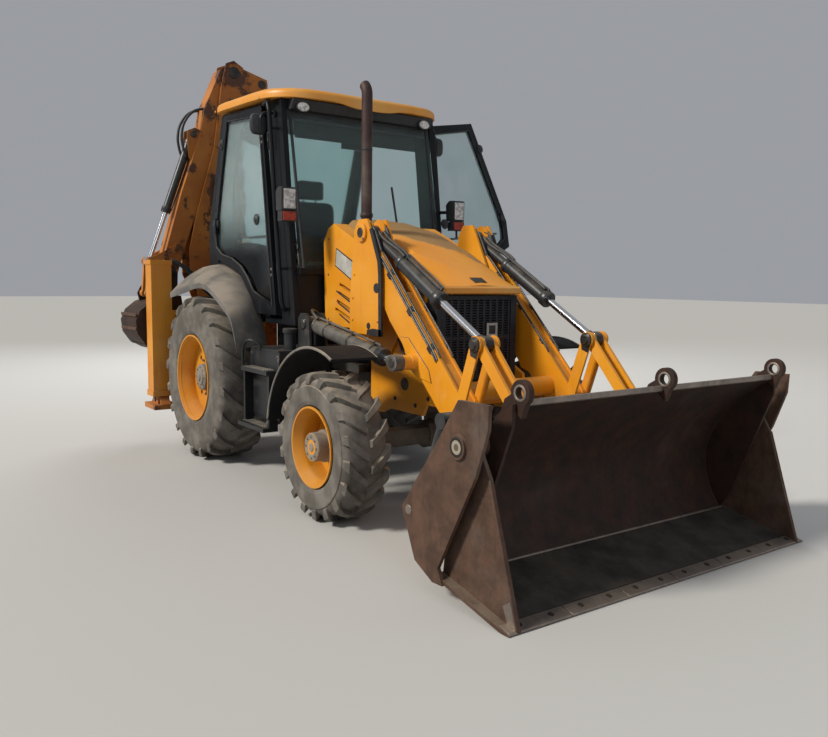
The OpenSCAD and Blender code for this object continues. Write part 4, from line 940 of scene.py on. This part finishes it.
# The dark mouth at the end of the bend
bend = radians(50)
tip = around(90, bend, PIPE_Y, PIPE_X - 90, 2800)
pipe.turned(SEAL, (tip[0] + 2 * sin(bend), PIPE_Y, tip[2] - 2 * cos(bend)), (-sin(bend), 0, cos(bend)),
            [(0, 33), (3, 33)])
pipe.done(1.0)

# Tanks, steps, guards and fenders
side = pair("side_fittings", "black_paint")
# Teeth of the two treads
for z, end in ((445, 1000), (860, 968)):
    for y in range(884, min(end, 960), 15):
        for x in range(868, 1260, 28):
            side.block(GREY, x, x + 17, y, y + 7, z, z + 5)
side.tube(BLACK, [(868, 958, 862), (872, 962, 980), (905, 955, 1046), (960, 930, 1060), (1010, 890, 1030),
                  (1016, 884, 990)], 11)
side.block(BLACK, 880, 1270, 880, 886, 500, 800)
side.block(BLACK, 840, 1320, 470, 884, 992, 1006)
side.turned(SEAL, (1240, 750, 1128), Z, [(0, 52), (8, 54), (30, 54), (36, 44)])
side.tube(HOSE, [(1300, 860, 960), (1340, 890, 930), (1350, 880, 800), (1320, 870, 700)], 10, 8, 5)
side.bolts(BARE, 880, 8, 6, (850, 500), (850, 960), (1300, 500), (1300, 960))
side.done(1.2)

# Edges of a rear guard: angle round the wheel in degrees, and gap to the tyre
INNER = ((23.2, 110), (30.3, 130), (42.7, 149), (55.8, 168), (69.8, 193), (81.8, 229), (93.4, 266),
         (109, 325), (123.1, 432))
OUTER = ((20.3, 221), (25, 233), (36, 239), (43.9, 203), (54.4, 162), (69.8, 138), (85.6, 112),
         (110.3, 114), (131.3, 247))
inner, outer = (curve_points([around(REAR_R + gap, radians(a), 0, 0, REAR_R) for a, gap in edge], 5)
                for edge in (INNER, OUTER))
verts = []
steps = 9
for p, q in zip(inner, outer):
    line = []
    for k in range(steps + 1):
        t = k / steps
        v = p.lerp(q, t)
        out = (v - Vector((0, 0, REAR_R))).normalized() * 26 * sin(pi * t)
        line.append(Vector((v.x, 699.5 + 310 * t, v.z)) + out)
    lip = [Vector((q.x, y, q.z - drop)) for y, drop in ((1009.5, 16), (1007, 43), (998, 43), (997, 16))]
    verts += [tuple(v) for v in line + lip + [v - Vector((0, 0, 13)) for v in reversed(line[:-1])]]
n = 2 * steps + 5
faces = skin(len(inner), n, caps=False)
for o in (0, (len(inner) - 1) * n):
    faces += [[o + k, o + k + 1, o + n - 2 - k, o + n - 1 - k] for k in range(steps - 1)]
    faces += [[o + steps - 1, o + steps, o + steps + 4, o + steps + 5], [o + steps + k for k in range(5)]]
guard = pair("guard_skins", "black_paint")
guard.add(GUARD, verts, faces)
guard.done(0, angle=50, replaces=["rear_guards"])

# Painted highlight: grey tubes along the fenders' edges stand for the light they catch
fender = pair("fender_edge_highlights", "black_paint")
for y, r in ((1068, 9), (742, 7)):
    fender.tube(GREY, [around(634, radians(t), y, 2155, 465) for t in range(66, 172, 7)], r, 8, 3)
fender.done(0)

# Loader arms, levers and rams
arm = pair("arm_fittings", "yellow_paint", "arms")
# Doubling plate with its weld, and the lift ram's boss
double = [(2330, 1160), (2420, 1160), (2640, 975), (2668, 900), (2520, 925), (2470, 990), (2400, 1062)]
arm.plate(YELLOW, double, 509, 517)
for a, b in zip(double, double[1:] + double[:1]):
    arm.tube(GREASE, [(a[0], 511, a[1]), (b[0], 511, b[1])], 3.5, 6, 1)
arm.bosses(1, (YELLOW, LIFT_TIP, 614, [(-104, 58), (-90, 52), (-60, 50), (-58, 47), (-2, 46)]))
# Steel pipes along the arm's upper edge, with clips, and a hose at the upper end of two
for y, drop in ((405, 0), (504, 0), (516, 22), (516, 40)):
    arm.tube(BARREL_GREY if drop == 22 else BARREL, [(x - 0.7 * drop, y, z - 0.7 * drop) for x, z in
             ((2090, 1712), (2180, 1640), (2500, 1318), (2700, 1118), (2745, 1062))], 6.4, 10, 4)
for x in (2220, 2450, 2670):
    z = 3818 - x
    for y in ((399, 411), (498, 511)):
        arm.plate(GREASE, [(x - 16, z - 10), (x + 16, z - 42), (x + 23, z - 35), (x - 9, z - 3)], *y)
    arm.plate(GREASE, [(x - 44, z - 38), (x - 12, z - 70), (x + 16, z - 42), (x - 16, z - 10)], 509, 523)
for y in (405, 504):
    arm.tube(HOSE, [(2090, y, 1712), (2046, y, 1790), (2000, y, 1862), (1950, y, 1886)], 11, 10, 5)
arm.bosses(1, *((BARE, pin, 509, [(0, 30), (5, 28)], 24) for pin in (LEVER_PIN, BUCKET_PIN)))
arm.done()

levers = pair("lever_pins", "yellow_paint", "levers")
links = pair("link_pins", "yellow_paint", "links")
for s in (-1, 1):
    levers.bosses(s, (GREASE, LEVER_PIN, 73, [(0, 40), (8, 38), (14, 26), (20, 24)]), mid=ARM_Y)
    levers.bolt(BARE, (2950, ARM_Y + s * 74, 745), (0, s, 0), 7)
    levers.bosses(s, (GREASE, LEVER_TOP, 73, [(0, 46), (10, 44), (16, 30), (24, 26)]), mid=ARM_Y)
    levers.plate(GREASE, [(3060, 1100), (3112, 1084), (3136, 1150), (3120, 1200), (3070, 1200), (3054, 1150)],
                 ARM_Y + s * 72.5, ARM_Y + s * 75.5)
    links.bosses(s, (GREASE, LINK_PIN, 51, [(0, 38), (8, 36), (12, 24)]),
                 (GREASE, LEVER_TOP, 52, [(0, 42), (5, 40)]), mid=ARM_Y)
levers.done()
links.done()

tilt_line = along(ARM_PIN, LEVER_TOP, ARM_Y)
tilt = pair("tilt_ram_fittings", "barrel_black", "tilt_barrels", tilt_line)
tilt.turned(BARREL, (398, 0, 0), X, [(0, 50), (10, 53), (34, 53), (40, 49)], 32)
tilt.turned(BARREL, (852, 0, 0), X, [(-8, 53), (-2, 57), (40, 57), (47, 52)], 32)
tilt.tube(BARREL, [(430, -26, 66), (520, -28, 64), (800, -28, 64), (850, -24, 60)], 8, 8, 3)
for s in (-1, 1):
    tilt.tube(HOSE, [(440, s * 16, 58), (370, s * 18, 62), (280, s * 20, 52), (180, s * 22, 46),
                     (90, s * 22, 58)], 11, 10, 5)
tilt.turned(GREASE, (0, -31, 0), (0, -1, 0), [(0, 42), (3, 40)], 24)
tilt.done(1.2)

eye = pair("tilt_rod_eyes", "rod_chrome", "tilt_rods", tilt_line)
eye.turned(GREASE, (1372.9, 31.8, 0), (0, -1, 0), [(0, 47), (2, 49.5), (61.6, 49.5), (63.6, 47)], 32)
eye.turned(GREASE, (1310, 0, 0), X, [(0, 25), (4, 30), (22, 30)], 24)
eye.done(0.8)

lift_line = along(LIFT_BASE, LIFT_TIP, LIFT_Y)
eye = pair("lift_rod_eyes", "rod_chrome", "lift_rods", lift_line)
eye.turned(BARREL_GREY, (1100.8, 35.4, 0), (0, -1, 0), [(0, 50), (2, 53), (68.8, 53), (70.8, 50)], 32)
eye.turned(GREASE, (1100.8, 36, 0), Y, [(0, 30), (3, 28)], 24)
eye.turned(BARREL_GREY, (1030, 0, 0), X, [(0, 30), (4, 36), (26, 36)], 24)
eye.done(0.8)

lift = pair("lift_ram_fittings", "barrel_black", "lift_barrels", lift_line)
lift.turned(BARREL_GREY, (60, 0, 0), X, [(0, 52), (4, 55), (26, 55), (30, 52)], 32)
lift.turned(BARREL, (918, 0, 0), X, [(-4, 56), (0, 60), (46, 60), (53, 54)], 32)
lift.tube(BARREL_GREY, [(110, 0, 52), (120, 0, 66), (200, 0, 68), (860, 0, 68), (900, 0, 58)], 9, 8, 4)
lift.tube(HOSE, [(110, 20, 60), (60, 26, 84), (0, 10, 96), (-50, -30, 90), (-70, -80, 60)], 11, 10, 5)
for x in (240, 560, 840):
    lift.turned(GREASE, (x, 0, 0), X, [(0, 51), (2, 53), (16, 53), (18, 51)])
    lift.block(GREASE, x, x + 18, -10, 10, 46, 78)
lift.done(1.2)

# Loader bucket
bucket = Piece("bucket_fittings", "rusty_steel", "bucket")
bucket.plate(BARE, [(3986, 1003), (3998, 1001), (3996, 976), (3984, 968)], -1008, 1008)
for y in (-500, 0, 500):
    bucket.tube(BUCKET_RUST_AND_SHADE, [(3978, y + 20, 975), (3940, y + 20, 965), (3900, y + 22, 930)], 5, 6, 3)
for s in (-1, 1):
    bucket.bosses(s, (BARE, CLAM_BASE, 1066, [(0, 26), (3, 24)], 24))
# Rings round the eyes of the fork lugs
for y in (-1000, 0, 1000):
    for s in (-1, 1):
        bucket.bosses(s, (BARE, (4000, 1035), 16, [(-3, 40), (3, 39), (4, 37), (4, 28), (-3, 27)], 28, True),
                      mid=y)
bucket.done()

clam = pair("clam_fittings", "rusty_steel", "clam")
clam.bosses(1, (BUCKET_OUT, CLAM_PIN, 1184, [(0, 62), (3, 62), (4, 60)], 36),
            (BARE, CLAM_TIP, 1183, [(0, 26), (4, 24)], 24))
# Wear shoe and edge welds of the cheek
clam.plate(BARE, [(4080, 8), (4135, 8), (4085, 130), (4040, 100)], 1119, 1124)
clam.tube(BUCKET_OUT, [(3931, 1121, 640), (4132, 1121, 12)], 6, 6, 1)
clam.tube(BUCKET_OUT, [(3604, 1121, 106), (4074, 1121, 8)], 7, 6, 1)
clam.done(1.2)

edge = Piece("cutting_edge", "rusty_steel", "clam")
for y in range(-1170, 1170, 390):
    edge.plate(BARE, [(4062, 27), (4066, 31), (4134, 13), (4139, 5)], y + 4, y + 386)
    for q in (95, 290):
        edge.turned(BUCKET_RUST_AND_SHADE, (4096, y + q, 22), (0.22, 0, 1), [(0, 15), (4, 14)], 16)
# Floor plate inside the bucket: worn steel, painted dark as painted shade
edge.plate(FLOOR_WEAR_AND_SHADE, [(3640, 117), (3640, 122), (4060, 33), (4060, 28)], -1100, 1100)
edge.tube(BARE, [(3668, y, 124) for y in range(-1040, 1041, 80)], 8, 6, 2)
edge.done(1.0)

# Rear frame and stabilisers
post = pair("frame_fittings", "faded_paint")
post.block(POST, -1026, -854, 904, 1106, 1640, 1682)
post.block(POST, -1030, -850, 902, 1108, 418, 470)
for z in (520, 620, 1500, 1600):
    post.bolt(BARE, (-1022, 1005, z), (-1, 0, 0), 8, 5)
for path in ([(-940, 880, 1690), (-930, 780, 1640), (-920, 600, 1500), (-930, 420, 1320), (-960, 300, 1210)],
             [(-920, 880, 1680), (-905, 760, 1600), (-900, 620, 1440), (-920, 440, 1290), (-950, 330, 1205)]):
    post.tube(HOSE, path, 13)
for z in (1140, 1170):
    post.block(POST, -1060, -860, 200, 900, z - 8, z)
post.done(2.0)

for name, s in (("right", -1), ("left", 1)):
    foot = Piece("foot_" + name, "faded_paint", "leg_" + name)
    for outline in ([(-1088, 346), (-1060, 346), (-1010, 410), (-1012, 418), (-1030, 400)],
                    [(-792, 346), (-822, 346), (-870, 410), (-868, 418), (-850, 400)]):
        foot.plate(FADED, outline, s * 960, s * 1050)
    foot.bosses(s, (GREASE, (-940, 382), 940, [(0, 20), (130, 20)], 18))
    foot.done()

# Digging arm
king = Piece("kingpost_fittings", "faded_paint", "kingpost", hoe)
king.bosses(1, (GREASE, BOOM_PIN, 104, [(-208, 50), (0, 50)]))
for z in (545, 945):
    king.turned(GREASE, (0, 0, z), Z, [(0, 97), (6, 97)], 36)
king.bosses(1, (GREASE, BOOM_RAM[0], 62, [(-124, 30), (0, 30)], 24))
king.done()

boom = Piece("boom_fittings", "faded_paint", "boom", hoe)
for s in (-1, 1):
    boom.bosses(s, (GREASE, BOOM_PIN, 125, [(0, 62), (8, 60), (12, 34)], 32),
                (GREASE, DIPPER_PIN, 125, [(0, 58), (8, 56), (12, 34)], 32),
                *((GREASE, pin, 125, [(0, 48), (6, 46)]) for pin in (BOOM_RAM[1], DIPPER_RAM[0])))
    boom.bolt(BARE, (300, s * 125, 800), (0, s, 0))
    # Steel pipes clipped to the plate
    for x in (130, 160):
        boom.tube(BARREL, [(x, s * 133, 1250), (x - 40, s * 134, 1700), (x - 60, s * 134, 2300),
                           (x - 10, s * 134, 2900), (x, s * 134, 3300)], 8, 8, 5)
    for x, z in ((92, 1700), (85, 2300), (135, 2900)):
        boom.block(GREASE, x - 22, x + 48, s * 125, s * 146, z, z + 26)
# Hoses that arch over from the boom to the ram's rod end
for k, y in enumerate((-30, 0, 30)):
    boom.tube(HOSE, [(-60, y, 2500), (-150 - 8 * k, y, 2620), (-176 - 8 * k, y, 2760),
                     (-150 - 6 * k, y, 2900), (-70, y, 3010), (24, y, 3030)], 13)
boom.plate(PLATE, [(196, 3330), (248, 3330), (240, 3400), (196, 3400)], -127.5, -125)
boom.done()

dipper = Piece("dipper_fittings", "faded_paint", "dipper", hoe)
for s in (-1, 1):
    dipper.bosses(s, (GREASE, CLAW_LEVER, 95, [(0, 44), (4, 42)]),
                  (GREASE, DIPPER_RAM[1], 95, [(0, 44), (6, 40), (8, 24)]),
                  (GREASE, CLAW_PIN, 117, [(0, 48), (1, 46)]),
                  (GREASE, CLAW_RAM[0], 64, [(0, 34), (8, 32), (10, 20)], 24))
for s in (1, -1):
    dipper.tube(BARREL, [(440, s * 78, 2820), (330, s * 84, 3000), (230, s * 88, 3200), (140, s * 88, 3330)],
                8, 8, 5)
for y in (-56, 56):
    dipper.tube(HOSE, [(590, y, 2700), (618, y, 2790), (630, y, 2900), (600, y, 3030), (500, y, 3150),
                       (330, y, 3200)], 13)
dipper.done()

claw = Piece("digging_bucket_fittings", "rusty_steel", "hoe_bucket", hoe)
for s in (-1, 1):
    claw.bosses(s, (GREASE, CLAW_PIN, 142, [(0, 52), (6, 50), (10, 30)]),
                (GREASE, CLAW_LINK, 142, [(0, 44), (6, 42), (10, 26)]))
    claw.plate(BUCKET_OUT, [(690, 1120), (640, 900), (604, 850), (640, 846), (680, 900), (724, 1110)],
               s * 232, s * 249)
for y in range(-216, 217, 108):
    claw.plate(BARE, [(600, 858), (596, 878), (516, 889), (512, 882), (560, 862)], y - 30, y + 30)
for z in (1150, 1020):
    claw.block(BUCKET_OUT, 1160, 1172, -240, 240, z, z + 30)
claw.plate(BUCKET_OUT, [(1060, 868), (1090, 880), (1090, 884), (1060, 872)], -240, 240)
claw.done()

# Gland, clamp ring and pipe of each ram: base and tip pins, barrel's radius and length, the ring's place
for name, (p, q), r, length, first in (("boom", BOOM_RAM, 32, 1010, 620), ("dipper", DIPPER_RAM, 32, 700, 62),
                                       ("hoe", CLAW_RAM, 38, 820, 62)):
    line = along(p, q, 0)
    ram = Piece(name + "_ram_fittings", "barrel_black", name + "_barrel", lambda v, line=line: hoe(line(v)))
    ram.turned(BARREL, (length - 54, 0, 0), X, [(-6, r + 4), (0, r + 9), (44, r + 9), (52, r + 3)])
    ram.turned(BARREL, (first, 0, 0), X, [(0, r + 1), (4, r + 6), (30, r + 6), (34, r + 1)])
    ram.tube(BARREL, [(first + 18, 0, -r - 4), (first + 34, 0, -r - 12), (length - 90, 0, -r - 12),
                      (length - 60, 0, -r - 4)], 7, 8, 3)
    ram.done(1.0)

# Floor
floor_mesh = bpy.data.meshes.new("floor")
floor_mesh.from_pydata([(-60, -60, 0), (60, -60, 0), (60, 60, 0), (-60, 60, 0)], [], [(0, 1, 2, 3)])
matte = Mat("floor_matte")
matte.color = (0.46, 0.45, 0.43)
floor_mesh.materials.append(matte.out(0.9))
floor = show(bpy.data.objects.new("floor", floor_mesh))
